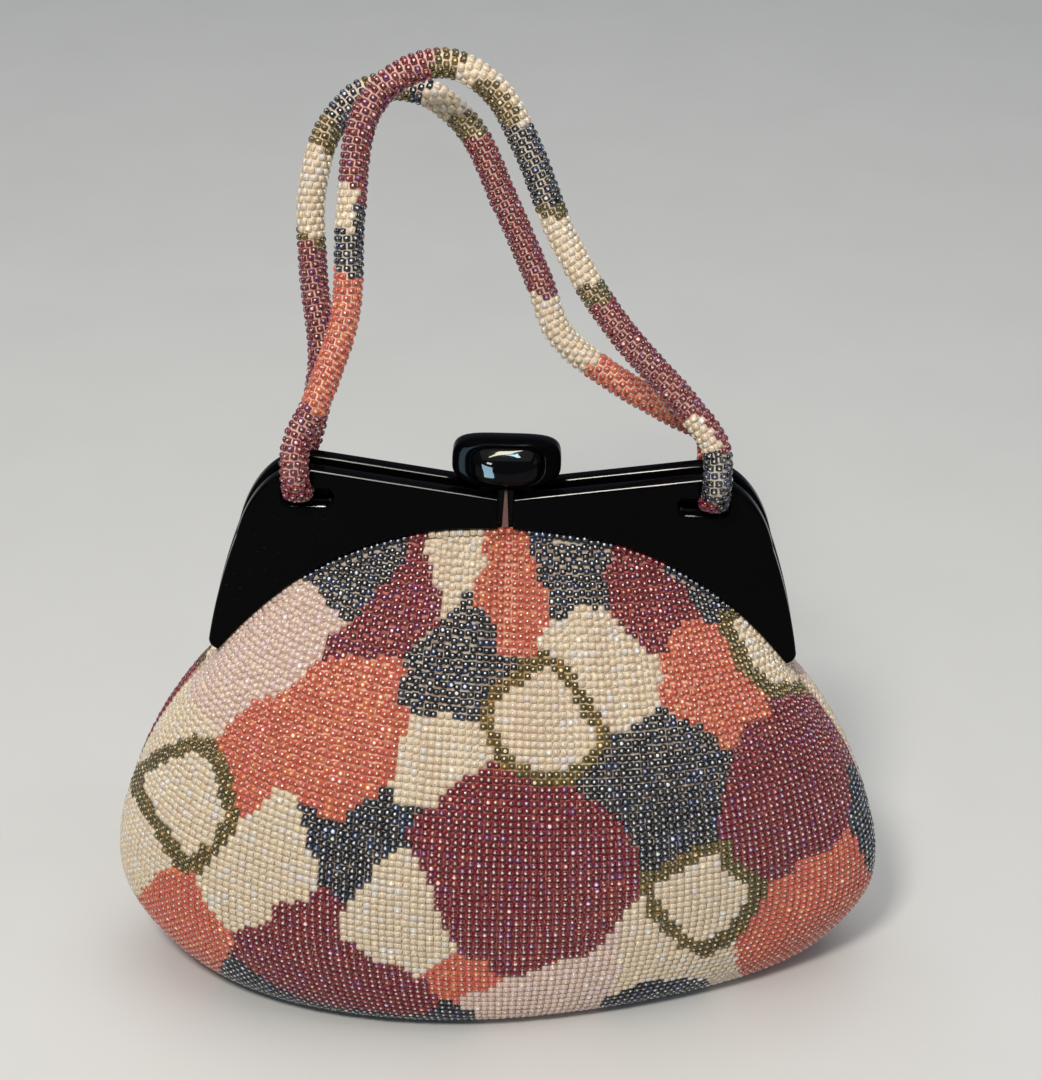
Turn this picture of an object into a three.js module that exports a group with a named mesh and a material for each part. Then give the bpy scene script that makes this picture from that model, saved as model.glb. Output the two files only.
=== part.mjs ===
// A beaded handbag that stands on its soft base: two bead-cloth panels seamed into a pouch, four black
// plastic frame plates that grip the mouth, a domed lift-up clasp and two bead-rope handles.
// Millimetres, +Z up, the front faces -Y, and the origin is on the floor under the middle of the bag.

import * as THREE from 'three';

// Clearance left between pieces that touch
const CLEARANCE = 0.3;

// Frame: two plates in front and two behind, with the mouth between them
const PLATE_THICK = 5.5;
const MOUTH_GAP = 5;
const PLATE_BEVEL = 0.9;
const SLIT_WIDTH = 5.2;
const CENTRE_Z = 197.8;
const CORNER = { x: 66.5, z: 207.8 };
const SHOULDER = { outX: 79, outZ: 209.3, downX: 89.5, downZ: 197, endX: 93.4, endZ: 180 };
const SIDE = { x: 100.9, z: 159.5 };
const TIP = { outX: 104.5, z: 138, lowX: 104.4, lowZ: 134.6 };
const MOUTH_HALF = MOUTH_GAP / 2;
const PLATE_FACE = MOUTH_HALF + PLATE_THICK;

// Arch on the plates' lower edge, where the cloth is held
const ARCH = { apexZ: 186, rise: 52, halfSpan: 101, power: 2.5, steps: 16 };

// Slots that the handles come out of
const SLOT = { x: 68.2, z: 197.4, width: 18, height: 7 };

// Pins that join the front and back plates near their lower ends
const PIN = { x: 94, z: 152, radius: 2.2, sides: 16 };

// Cloth wall, and half the gap left at its seams
const CLOTH = { thick: 3, seamHalf: CLEARANCE / 2, columns: 28, rows: 20 };
const BACK_FULLNESS = 0.93;

// One row for each level of a panel, from the arch to the seam under the base: where it meets the side
// seam, how high it is in the middle, how far it bulges there, how square its curve is, and how much
// further it bulges towards the left
const LEVELS = [
  { name: 'arch', sideX: 101, sideZ: 133.5, midZ: 185.5, bulge: 6.4, square: 8, lean: 0 },
  { name: 'gathers', sideX: 107, sideZ: 125.5, midZ: 171, bulge: 13.5, square: 5, lean: 0.03 },
  { name: 'slope', sideX: 117, sideZ: 112.5, midZ: 148, bulge: 27, square: 3.2, lean: 0.06 },
  { name: 'rise', sideX: 127.5, sideZ: 95, midZ: 124, bulge: 40, square: 2.6, lean: 0.1 },
  { name: 'upper belly', sideX: 136, sideZ: 74, midZ: 97, bulge: 52, square: 2.25, lean: 0.15 },
  { name: 'belly', sideX: 141.5, sideZ: 54, midZ: 68, bulge: 58, square: 2.1, lean: 0.2 },
  { name: 'lower belly', sideX: 141.5, sideZ: 35, midZ: 42, bulge: 59, square: 2.0, lean: 0.24 },
  { name: 'turn', sideX: 132.5, sideZ: 17, midZ: 18.5, bulge: 57, square: 1.9, lean: 0.26 },
  { name: 'heel', sideX: 121, sideZ: 5, midZ: 5, bulge: 52.5, square: 1.85, lean: 0.26 },
  { name: 'base edge', sideX: 108, sideZ: 0, midZ: 0, bulge: 43, square: 1.9, lean: 0.22 },
  { name: 'base', sideX: 95, sideZ: 0, midZ: 0, bulge: 22, square: 2, lean: 0.12 },
  { name: 'base seam', sideX: 84, sideZ: 0, midZ: 0, bulge: 0, square: 2, lean: 0 },
];

// One row for each soft dent in a panel: its middle, how far it runs and spreads, its turn from upright
// and its depth. Dents fade out above the base.
const FRONT_FOLDS = [
  { x: 1, z: 156, run: 26, spread: 9, turn: 2, depth: 3.5 },
  { x: -46, z: 150, run: 24, spread: 11, turn: 24, depth: 2 },
  { x: 50, z: 148, run: 24, spread: 11, turn: -26, depth: 2 },
  { x: 104, z: 48, run: 24, spread: 10, turn: 32, depth: 3.5 },
  { x: -88, z: 70, run: 30, spread: 14, turn: -20, depth: 2 },
];
const BACK_FOLDS = [
  { x: -2, z: 154, run: 28, spread: 10, turn: -4, depth: 3 },
  { x: 58, z: 140, run: 26, spread: 12, turn: -24, depth: 2.5 },
  { x: -62, z: 138, run: 26, spread: 12, turn: 22, depth: 2.5 },
  { x: -96, z: 56, run: 24, spread: 12, turn: -28, depth: 3 },
];
const FOLD_FLOOR = 12;

// Cloth strip that shows in the slit of the front plates
const TAB = { lowWidth: 2.2, topWidth: 0.8, topZ: 200.4, thick: 1.4, y: -5.2 };

// Clasp: a cushion-shaped block that lifts about a line behind it, and the post under it. One row for
// each ring of the block, from its back to the top of its dome
const CLASP_RINGS = [
  { y: 6.9, halfWidth: 17.2, bottom: 201.6, top: 215.4 },
  { y: 4.8, halfWidth: 18.7, bottom: 199.6, top: 217.4 },
  { y: -0.4, halfWidth: 18.7, bottom: 199, top: 218.6 },
  { y: -4.6, halfWidth: 18.2, bottom: 200.8, top: 218.4 },
  { y: -6.4, halfWidth: 14.2, bottom: 202, top: 217.4 },
  { y: -8.8, halfWidth: 12, bottom: 203.6, top: 215.8 },
  { y: -11, halfWidth: 9, bottom: 205.4, top: 213.8 },
  { y: -12.4, halfWidth: 4.8, bottom: 207.4, top: 211.6 },
];
const CLASP_SIDES = 32;
const CLASP_SQUARE = { upper: 4, lower: 2.5 };
const POST = { halfWidth: 9, lowZ: 187.5, topZ: 198.7 };

// Handles: round bead ropes, pressed flat where they go through the slots. Each stands in a plane of its
// own that leans back, and a row gives a place on the rope: across, and up that plane from its foot
const ROPE = { radius: 5.2, endHalfWidth: 4.9, endHalfHeight: 2.9, sides: 10, steps: 60 };
const ROPE_END = { share: 0.05, flatPart: 0.45 };
const HANDLE_PLANE = { footY: 16.8, footZ: 200.6, leanDeg: 18 };
const SLOT_EXIT = { x: 71.2, innerY: MOUTH_HALF + CLEARANCE, outY: 14.2, outZ: 202.8 };
const FRONT_ROUTE = [
  { across: -71.9, up: 11.5 },
  { across: -70.6, up: 21.5 },
  { across: -66.2, up: 30 },
  { across: -60.6, up: 44.5 },
  { across: -55, up: 64 },
  { across: -53.6, up: 97 },
  { across: -49.5, up: 129 },
  { across: -39, up: 142 },
  { across: -22.5, up: 147 },
  { across: -7, up: 139 },
  { across: 4.5, up: 120 },
  { across: 17.5, up: 90 },
  { across: 36, up: 62 },
  { across: 61, up: 35 },
  { across: 70.6, up: 22 },
  { across: 71.6, up: 11 },
];
const BACK_ROUTE = [
  { across: -69, up: 9 },
  { across: -65.4, up: 34 },
  { across: -68.6, up: 64 },
  { across: -69.3, up: 92 },
  { across: -63.5, up: 113 },
  { across: -51, up: 126 },
  { across: -33, up: 127 },
  { across: -16, up: 115 },
  { across: -3, up: 90 },
  { across: 9.5, up: 63 },
  { across: 17, up: 45 },
  { across: 33, up: 32 },
  { across: 57, up: 18.5 },
  { across: 69, up: 12.5 },
  { across: 71.4, up: 7 },
];

// Finishes
const BLACK_PLASTIC = { color: 0x0b0b0d, roughness: 0.12, metalness: 0 };
const BEAD_CLOTH = { color: 0x9a5a55, roughness: 0.4, metalness: 0 };
const BEAD_ROPE = { color: 0x7a2f3c, roughness: 0.4, metalness: 0 };
const PINK_CLOTH = { color: 0xc79a8b, roughness: 0.8, metalness: 0 };
const STEEL = { color: 0x8d8f92, roughness: 0.35, metalness: 1 };

const bag = new THREE.Group();

function addPiece(name, geometry, finish) {
  const mesh = new THREE.Mesh(geometry, new THREE.MeshStandardMaterial(finish));
  mesh.name = name;
  bag.add(mesh);
  return mesh;
}

function archZ(x) {
  return ARCH.apexZ - ARCH.rise * (Math.abs(x) / ARCH.halfSpan) ** ARCH.power;
}

// Height of the plates' V-shaped top edge
function plateTopZ(x) {
  return CENTRE_Z + (CORNER.z - CENTRE_Z) * (Math.abs(x) / CORNER.x);
}

// A closed body from vertices and triangles, turned so that its faces point out
function closedBody(points, triangles) {
  let volume = 0;
  const cross = new THREE.Vector3();
  for (const [a, b, c] of triangles) {
    volume += points[a].dot(cross.crossVectors(points[b], points[c]));
  }
  const outward = volume > 0 ? triangles : triangles.map(([a, b, c]) => [a, c, b]);
  const geometry = new THREE.BufferGeometry().setFromPoints(points);
  geometry.setIndex(outward.flat());
  geometry.computeVertexNormals();
  return geometry;
}

// Triangles between two closed rings of the same size
function ringWall(first, second, size) {
  const triangles = [];
  for (let i = 0; i < size; i += 1) {
    const next = (i + 1) % size;
    triangles.push([first + i, first + next, second + next], [first + i, second + next, second + i]);
  }
  return triangles;
}

// A solid through rings of points, closed by a fan at each end
function ringSolid(rings) {
  const size = rings[0].length;
  const points = rings.flat();
  const triangles = [];
  for (let ring = 0; ring < rings.length - 1; ring += 1) {
    triangles.push(...ringWall(ring * size, (ring + 1) * size, size));
  }
  const ends = [{ start: 0, flip: true }, { start: (rings.length - 1) * size, flip: false }];
  for (const { start, flip } of ends) {
    const middle = new THREE.Vector3();
    points.slice(start, start + size).forEach((point) => middle.addScaledVector(point, 1 / size));
    const hub = points.push(middle) - 1;
    for (let i = 0; i < size; i += 1) {
      const a = start + i;
      const b = start + ((i + 1) % size);
      triangles.push(flip ? [hub, b, a] : [hub, a, b]);
    }
  }
  return closedBody(points, triangles);
}

// Frame plate: V-shaped top, round shoulder, slanted side, pointed end, arch and handle slot
function plateShape(side) {
  const shape = new THREE.Shape();
  shape.moveTo(side * (SLIT_WIDTH / 2), plateTopZ(SLIT_WIDTH / 2));
  shape.lineTo(side * CORNER.x, CORNER.z);
  shape.bezierCurveTo(
    side * SHOULDER.outX, SHOULDER.outZ,
    side * SHOULDER.downX, SHOULDER.downZ,
    side * SHOULDER.endX, SHOULDER.endZ,
  );
  shape.quadraticCurveTo(side * SIDE.x, SIDE.z, side * TIP.outX, TIP.z);
  shape.quadraticCurveTo(side * TIP.lowX, TIP.lowZ, side * ARCH.halfSpan, archZ(ARCH.halfSpan));
  for (let step = 1; step <= ARCH.steps; step += 1) {
    const share = Math.cos((step / ARCH.steps) * (Math.PI / 2));
    const x = SLIT_WIDTH / 2 + (ARCH.halfSpan - SLIT_WIDTH / 2) * share;
    shape.lineTo(side * x, archZ(x));
  }
  shape.closePath();

  const slot = new THREE.Path();
  const radius = SLOT.height / 2;
  const reach = SLOT.width / 2 - radius;
  const x = side * SLOT.x;
  slot.absarc(x + reach, SLOT.z, radius, -Math.PI / 2, Math.PI / 2, false);
  slot.absarc(x - reach, SLOT.z, radius, Math.PI / 2, (3 * Math.PI) / 2, false);
  shape.holes.push(slot);
  return shape;
}

function addPlate(name, side, innerY) {
  const geometry = new THREE.ExtrudeGeometry(plateShape(side), {
    depth: PLATE_THICK - 2 * PLATE_BEVEL,
    curveSegments: 6,
    bevelThickness: PLATE_BEVEL,
    bevelSize: PLATE_BEVEL,
    bevelOffset: -PLATE_BEVEL,
    bevelSegments: 2,
  });
  const plate = addPiece(name, geometry, BLACK_PLASTIC);
  plate.rotation.x = Math.PI / 2;
  plate.position.y = innerY - PLATE_BEVEL;
}

function addPin(name, side) {
  const length = MOUTH_GAP - 2 * CLEARANCE;
  const pin = addPiece(name, new THREE.CylinderGeometry(PIN.radius, PIN.radius, length, PIN.sides), STEEL);
  pin.position.set(side * PIN.x, 0, PIN.z);
}

// Depth of all of a panel's dents at a place on it
function dentDepth(folds, x, z) {
  let depth = 0;
  for (const fold of folds) {
    const turn = THREE.MathUtils.degToRad(fold.turn);
    const along = (z - fold.z) * Math.cos(turn) + (x - fold.x) * Math.sin(turn);
    const across = (x - fold.x) * Math.cos(turn) - (z - fold.z) * Math.sin(turn);
    depth += fold.depth * Math.exp(-((along / fold.run) ** 2) - (across / fold.spread) ** 2);
  }
  return depth * THREE.MathUtils.smoothstep(z, FOLD_FLOOR, 2 * FOLD_FLOOR);
}

// A panel's outer face as rows of points, from the arch down to the base seam
function panelFace(facing, fullness, folds) {
  const columns = [];
  for (let column = 0; column <= CLOTH.columns; column += 1) {
    const share = Math.sin((column / CLOTH.columns - 0.5) * Math.PI);
    const route = LEVELS.map((level) => {
      const x = level.sideX * share;
      const round = (1 - Math.abs(share) ** level.square) ** (1 / level.square);
      const lean = 1 + facing * level.lean * share;
      const z = level.sideZ + (level.midZ - level.sideZ) * (1 - Math.abs(share) ** ARCH.power);
      const bulge = level.bulge * fullness * round * lean;
      const dent = dentDepth(folds, x, z) * round;
      return new THREE.Vector3(x, facing * (CLOTH.seamHalf + Math.max(bulge - dent, 0)), z);
    });
    columns.push(new THREE.CatmullRomCurve3(route));
  }
  const rows = [];
  for (let row = 0; row <= CLOTH.rows; row += 1) {
    const points = columns.map((curve) => curve.getPoint(row / CLOTH.rows));
    points.forEach((point) => point.setZ(Math.max(point.z, 0)));
    rows.push(points);
  }
  return rows;
}

// The same face moved inwards by the cloth's thickness, with its seams kept in the seam plane
function innerFace(rows, facing) {
  const lastRow = rows.length - 1;
  const lastColumn = rows[0].length - 1;
  return rows.map((points, row) => points.map((point, column) => {
    const across = new THREE.Vector3().subVectors(
      rows[row][Math.min(column + 1, lastColumn)],
      rows[row][Math.max(column - 1, 0)],
    );
    const down = new THREE.Vector3().subVectors(
      rows[Math.min(row + 1, lastRow)][column],
      rows[Math.max(row - 1, 0)][column],
    );
    const outward = across.cross(down).normalize().multiplyScalar(facing);
    if (point.z === 0) {
      outward.set(0, 0, -1);
    }
    const inner = point.clone().addScaledVector(outward, -CLOTH.thick);
    const onSeam = column === 0 || column === lastColumn || row === lastRow;
    inner.y = onSeam ? facing * CLOTH.seamHalf : inner.y;
    return inner;
  }));
}

// A closed wall between two faces that have the same rows and columns
function wallSolid(outer, inner) {
  const rows = outer.length;
  const columns = outer[0].length;
  const points = [...outer.flat(), ...inner.flat()];
  const innerStart = rows * columns;
  const at = (row, column) => row * columns + column;
  const triangles = [];
  const addQuad = (a, b, c, d) => triangles.push([a, b, c], [a, c, d]);
  for (let row = 0; row < rows - 1; row += 1) {
    for (let column = 0; column < columns - 1; column += 1) {
      const quad = [at(row, column), at(row, column + 1), at(row + 1, column + 1), at(row + 1, column)];
      addQuad(...quad);
      addQuad(...quad.map((corner) => corner + innerStart).reverse());
    }
  }
  const rim = [];
  for (let column = 0; column < columns - 1; column += 1) {
    rim.push(at(0, column));
  }
  for (let row = 0; row < rows - 1; row += 1) {
    rim.push(at(row, columns - 1));
  }
  for (let column = columns - 1; column > 0; column -= 1) {
    rim.push(at(rows - 1, column));
  }
  for (let row = rows - 1; row > 0; row -= 1) {
    rim.push(at(row, 0));
  }
  rim.forEach((corner, index) => {
    const next = rim[(index + 1) % rim.length];
    addQuad(next, corner, corner + innerStart, next + innerStart);
  });
  return closedBody(points, triangles);
}

function addPanel(name, facing, fullness, folds) {
  const outer = panelFace(facing, fullness, folds);
  addPiece(name, wallSolid(outer, innerFace(outer, facing)), BEAD_CLOTH);
}

function addTab(name) {
  const lowZ = archZ(0);
  const shape = new THREE.Shape();
  shape.moveTo(-TAB.lowWidth / 2, lowZ);
  shape.lineTo(TAB.lowWidth / 2, lowZ);
  shape.lineTo(TAB.topWidth / 2, TAB.topZ);
  shape.lineTo(-TAB.topWidth / 2, TAB.topZ);
  const geometry = new THREE.ExtrudeGeometry(shape, { depth: TAB.thick, bevelEnabled: false });
  const tab = addPiece(name, geometry, PINK_CLOTH);
  tab.rotation.x = Math.PI / 2;
  tab.position.y = TAB.y + TAB.thick / 2;
}

function addClaspLever(name) {
  const rings = CLASP_RINGS.map((ring) => {
    const middle = (ring.top + ring.bottom) / 2;
    const halfHeight = (ring.top - ring.bottom) / 2;
    const points = [];
    for (let side = 0; side < CLASP_SIDES; side += 1) {
      const angle = (side / CLASP_SIDES) * 2 * Math.PI;
      const cos = Math.cos(angle);
      const sin = Math.sin(angle);
      const square = sin > 0 ? CLASP_SQUARE.upper : CLASP_SQUARE.lower;
      const reach = (Math.abs(cos) ** square + Math.abs(sin) ** square) ** (-1 / square);
      points.push(new THREE.Vector3(
        ring.halfWidth * reach * cos,
        ring.y,
        middle + halfHeight * reach * sin,
      ));
    }
    return points;
  });
  addPiece(name, ringSolid(rings), BLACK_PLASTIC);
}

function addClaspPost(name) {
  const depth = MOUTH_GAP - 2 * CLEARANCE;
  const height = POST.topZ - POST.lowZ;
  const post = addPiece(name, new THREE.BoxGeometry(2 * POST.halfWidth, depth, height), STEEL);
  post.position.z = (POST.topZ + POST.lowZ) / 2;
}

// A rope from slot to slot: out of the plate, up its leaning plane, over, and back into the other slot
function addHandle(name, facing, route) {
  const lean = THREE.MathUtils.degToRad(HANDLE_PLANE.leanDeg);
  const slotEnd = (side) => [
    new THREE.Vector3(side * SLOT_EXIT.x, facing * SLOT_EXIT.innerY, SLOT.z),
    new THREE.Vector3(side * SLOT_EXIT.x, facing * PLATE_FACE, SLOT.z),
    new THREE.Vector3(side * SLOT_EXIT.x, facing * SLOT_EXIT.outY, SLOT_EXIT.outZ),
  ];
  const rope = route.map(({ across, up }) => new THREE.Vector3(
    across,
    facing * HANDLE_PLANE.footY + up * Math.sin(lean),
    HANDLE_PLANE.footZ + up * Math.cos(lean),
  ));
  const curve = new THREE.CatmullRomCurve3([...slotEnd(-1), ...rope, ...slotEnd(1).reverse()]);
  const frames = curve.computeFrenetFrames(ROPE.steps, false);
  const rings = [];
  for (let step = 0; step <= ROPE.steps; step += 1) {
    const share = step / ROPE.steps;
    const middle = curve.getPointAt(share);
    const fromEnd = Math.min(share, 1 - share) / ROPE_END.share;
    const round = THREE.MathUtils.smoothstep(fromEnd, ROPE_END.flatPart, 1);
    const halfWidth = THREE.MathUtils.lerp(ROPE.endHalfWidth, ROPE.radius, round);
    const halfHeight = THREE.MathUtils.lerp(ROPE.endHalfHeight, ROPE.radius, round);
    const points = [];
    for (let side = 0; side < ROPE.sides; side += 1) {
      const angle = (side / ROPE.sides) * 2 * Math.PI;
      points.push(middle.clone()
        .addScaledVector(frames.normals[step], halfWidth * Math.cos(angle))
        .addScaledVector(frames.binormals[step], halfHeight * Math.sin(angle)));
    }
    rings.push(points);
  }
  addPiece(name, ringSolid(rings), BEAD_ROPE);
}

addPanel('pouch_front', -1, 1, FRONT_FOLDS);
addPanel('pouch_back', 1, BACK_FULLNESS, BACK_FOLDS);
addPlate('front_plate_left', -1, -MOUTH_HALF);
addPlate('front_plate_right', 1, -MOUTH_HALF);
addPlate('back_plate_left', -1, PLATE_FACE);
addPlate('back_plate_right', 1, PLATE_FACE);
addPin('hinge_pin_left', -1);
addPin('hinge_pin_right', 1);
addTab('centre_tab');
addClaspPost('clasp_post');
addClaspLever('clasp_lever');
addHandle('handle_front', -1, FRONT_ROUTE);
addHandle('handle_back', 1, BACK_ROUTE);

export default bag;
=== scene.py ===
# A beaded handbag: a bead-knit pouch gathered into a black plastic frame, with a domed lift-up clasp and
# two bead-rope handles. Metres, +Z up, the front faces -Y, and the bag stands on the floor at z 0.

import math
from collections import namedtuple

import bpy
import numpy as np
from mathutils import Matrix, Vector


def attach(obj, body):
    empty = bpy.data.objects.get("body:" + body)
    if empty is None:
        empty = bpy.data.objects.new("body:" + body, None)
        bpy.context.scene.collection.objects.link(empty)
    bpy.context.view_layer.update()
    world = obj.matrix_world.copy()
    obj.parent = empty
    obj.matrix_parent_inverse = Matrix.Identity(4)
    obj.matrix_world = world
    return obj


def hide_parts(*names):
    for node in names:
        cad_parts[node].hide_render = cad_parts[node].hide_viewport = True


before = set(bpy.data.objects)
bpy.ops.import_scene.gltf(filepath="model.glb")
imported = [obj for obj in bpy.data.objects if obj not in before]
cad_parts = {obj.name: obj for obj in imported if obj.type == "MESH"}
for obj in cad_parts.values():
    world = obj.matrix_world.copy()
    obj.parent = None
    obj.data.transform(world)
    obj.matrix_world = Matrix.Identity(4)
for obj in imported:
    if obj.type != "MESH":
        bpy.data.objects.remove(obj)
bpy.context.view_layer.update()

# Pouch cloth
# Two panels knitted in pale pink cotton thread, gathered into the frame along an arch and seamed at the
# sides and under the base. The beads stand on the thread, so the cloth lies under the panels' outer face.
Level = namedtuple("Level", "side_x side_z mid_z bulge square lean")
LEVELS = {
    "arch": Level(0.101, 0.1335, 0.1855, 0.0064, 8, 0),
    "gathers": Level(0.107, 0.1255, 0.171, 0.0135, 5, 0.03),
    "slope": Level(0.117, 0.1125, 0.148, 0.027, 3.2, 0.06),
    "rise": Level(0.1275, 0.095, 0.124, 0.040, 2.6, 0.1),
    "upper belly": Level(0.136, 0.074, 0.097, 0.052, 2.25, 0.15),
    "belly": Level(0.1415, 0.054, 0.068, 0.058, 2.1, 0.2),
    "lower belly": Level(0.1415, 0.035, 0.042, 0.059, 2.0, 0.24),
    "turn": Level(0.1325, 0.017, 0.0185, 0.057, 1.9, 0.26),
    "heel": Level(0.121, 0.005, 0.005, 0.0525, 1.85, 0.26),
    "base edge": Level(0.108, 0, 0, 0.043, 1.9, 0.22),
    "base": Level(0.095, 0, 0, 0.022, 2, 0.12),
    "base seam": Level(0.084, 0, 0, 0, 2, 0),
}
ARCH_POWER = 2.5
SEAM_HALF = 0.00015
Fold = namedtuple("Fold", "x z run spread turn depth")
FRONT_FOLDS = (
    Fold(0.001, 0.156, 0.026, 0.009, 2, 0.0035),
    Fold(0.0015, 0.166, 0.020, 0.0032, 3, 0.0014),
    Fold(-0.046, 0.150, 0.024, 0.011, 24, 0.002),
    Fold(0.050, 0.148, 0.024, 0.011, -26, 0.002),
    Fold(0.104, 0.048, 0.024, 0.010, 32, 0.0035),
    Fold(-0.088, 0.070, 0.030, 0.014, -20, 0.002),
)
BACK_FOLDS = (
    Fold(-0.002, 0.154, 0.028, 0.010, -4, 0.003),
    Fold(0.058, 0.140, 0.026, 0.012, -24, 0.0025),
    Fold(-0.062, 0.138, 0.026, 0.012, 22, 0.0025),
    Fold(-0.096, 0.056, 0.024, 0.012, -28, 0.003),
)
FOLD_FLOOR = 0.012
BACK_FULLNESS = 0.93
GATHER_DEPTH = 0.0007
GATHER_REACH = 0.016
GATHER_TURNS = (11, 17.5, 29)
CLOTH_DEPTH = 0.00095
CLOTH_THICK = 0.0009
CLOTH_ROWS = 96
CLOTH_COLUMNS = 97
STITCH_WIDTH = 0.0026
STITCH_HEIGHT = 0.00265


def smooth_step(value, low, high):
    """0 below low and 1 above high, with a soft rise between them."""
    share = np.clip((value - low) / (high - low), 0, 1)
    return share * share * (3 - 2 * share)


def smooth_route(points, steps):
    """A centripetal Catmull-Rom curve through points, at that many even places of its own measure."""
    points = np.asarray(points, float)
    knots = np.concatenate([2 * points[:1] - points[1:2], points, 2 * points[-1:] - points[-2:-1]])
    gaps = np.maximum(np.linalg.norm(np.diff(knots, axis=0), axis=-1), 1e-9) ** 0.5
    place = np.linspace(0, len(points) - 1, steps)
    span = np.minimum(place.astype(int), len(points) - 2)
    part = (place - span).reshape(-1, *[1] * (points.ndim - 1))
    before, start, end, after = (knots[span + i] for i in range(4))
    gap0, gap1, gap2 = (gaps[span + i][..., None] for i in range(3))
    leave = gap1 * ((start - before) / gap0 - (end - before) / (gap0 + gap1) + (end - start) / gap1)
    arrive = gap1 * ((end - start) / gap1 - (after - start) / (gap1 + gap2) + (after - end) / gap2)
    square = 3 * (end - start) - 2 * leave - arrive
    cube = 2 * (start - end) + leave + arrive
    return start + leave * part + square * part**2 + cube * part**3


def dent_depth(folds, x, z):
    """How far a panel's soft dents press it in at a place on it."""
    depth = np.zeros_like(x)
    for fold in folds:
        turn = math.radians(fold.turn)
        along = (z - fold.z) * math.cos(turn) + (x - fold.x) * math.sin(turn)
        across = (x - fold.x) * math.cos(turn) - (z - fold.z) * math.sin(turn)
        depth += fold.depth * np.exp(-((along / fold.run) ** 2) - (across / fold.spread) ** 2)
    return depth * smooth_step(z, FOLD_FLOOR, 2 * FOLD_FLOOR)


def panel_face(facing, fullness, folds, rows, columns):
    """A panel's outer face and its outward directions, as rows of points from the arch to the base seam."""
    turn = np.linspace(-0.5, 0.5, columns) * math.pi
    share = np.sin(turn)
    routes = []
    for level in LEVELS.values():
        x = level.side_x * share
        bow = np.clip(1 - np.abs(share) ** level.square, 0, 1) ** (1 / level.square)
        z = level.side_z + (level.mid_z - level.side_z) * (1 - np.abs(share) ** ARCH_POWER)
        bulge = level.bulge * fullness * bow * (1 + facing * level.lean * share)
        depth = np.maximum(bulge - dent_depth(folds, x, z) * bow, 0)
        routes.append(np.stack([x, facing * (SEAM_HALF + depth), z], axis=-1))
    face = smooth_route(routes, rows)
    face[..., 2] = np.maximum(face[..., 2], 0)
    outward = facing * np.cross(np.gradient(face, axis=1), np.gradient(face, axis=0))
    outward /= np.maximum(np.linalg.norm(outward, axis=-1, keepdims=True), 1e-12)
    outward[face[..., 2] <= 0] = (0, 0, -1)
    drop = np.linalg.norm(face - face[:1], axis=-1)
    waves = sum(np.sin(turns * turn * 2 + turns) for turns in GATHER_TURNS) / len(GATHER_TURNS)
    fade = np.exp(-drop / GATHER_REACH) * smooth_step(drop, 0, GATHER_REACH / 2) * np.cos(turn)
    return face + outward * (GATHER_DEPTH * waves * fade)[..., None], outward


def new_object(name, data):
    """An object at the origin, put in the scene."""
    made = bpy.data.objects.new(name, data)
    bpy.context.scene.collection.objects.link(made)
    return made


def new_piece(name, points, faces, finish):
    """A piece with one smooth mesh."""
    mesh = bpy.data.meshes.new(name)
    mesh.from_pydata([tuple(point) for point in points], [], faces)
    mesh.materials.append(finish)
    mesh.shade_smooth()
    return new_object(name, mesh)


class Shade:
    """One socket in a tree of nodes. Arithmetic on it adds Math nodes to that tree."""

    def __init__(self, socket):
        self.socket = socket

    @classmethod
    def node(cls, tree, kind, settings=None, values=None, out=0):
        """A new node of that type: its settings first, then its sockets' values or links."""
        made = tree.nodes.new(kind)
        for name, setting in (settings or {}).items():
            setattr(made, name, setting)
        for name, value in (values or {}).items():
            if isinstance(value, cls):
                tree.links.new(value.socket, made.inputs[name])
            else:
                made.inputs[name].default_value = value
        return cls(made.outputs[out])

    def math(self, operation, *others):
        values = dict(enumerate([self, *others]))
        return self.node(self.socket.id_data, "ShaderNodeMath", {"operation": operation}, values)

    def reflected(self, operation, other):
        values = {0: other, 1: self}
        return self.node(self.socket.id_data, "ShaderNodeMath", {"operation": operation}, values)

    def __add__(self, other):
        return self.math("ADD", other)

    def __radd__(self, other):
        return self.math("ADD", other)

    def __sub__(self, other):
        return self.math("SUBTRACT", other)

    def __rsub__(self, other):
        return self.reflected("SUBTRACT", other)

    def __mul__(self, other):
        return self.math("MULTIPLY", other)

    def __rmul__(self, other):
        return self.math("MULTIPLY", other)

    def __pow__(self, other):
        return self.math("POWER", other)

    def rise(self, low, high):
        """0 below low and 1 above high, with a soft rise between them."""
        values = {0: self, 1: low, 2: high}
        settings = {"interpolation_type": "SMOOTHSTEP"}
        return self.node(self.socket.id_data, "ShaderNodeMapRange", settings, values)


SRGB_KNEE = 0.04045
SRGB_SLOPE = 12.92
SRGB_LIFT = 0.055
SRGB_POWER = 2.4


def paint(red, green, blue):
    """A colour as it looks on a screen, 0 to 255, as the shader wants it."""
    shown = np.array([red, green, blue]) / 255
    curved = ((shown + SRGB_LIFT) / (1 + SRGB_LIFT)) ** SRGB_POWER
    linear = np.where(shown <= SRGB_KNEE, shown / SRGB_SLOPE, curved)
    return (*(float(value) for value in linear), 1.0)


def mixed(tree, first, second, share):
    """One colour laid over another by a share."""
    return Shade.node(tree, "ShaderNodeMix", {"data_type": "RGBA"}, {0: share, 6: first, 7: second}, out=2)


def new_finish(name, **plain):
    """A material with one shader, whose plain numbers are set on the shader's own sockets."""
    material = bpy.data.materials.new(name)
    material.use_nodes = True
    shader = material.node_tree.nodes["Principled BSDF"]
    for socket, value in plain.items():
        shader.inputs[socket.replace("_", " ")].default_value = value
    return material, material.node_tree, shader


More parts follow.
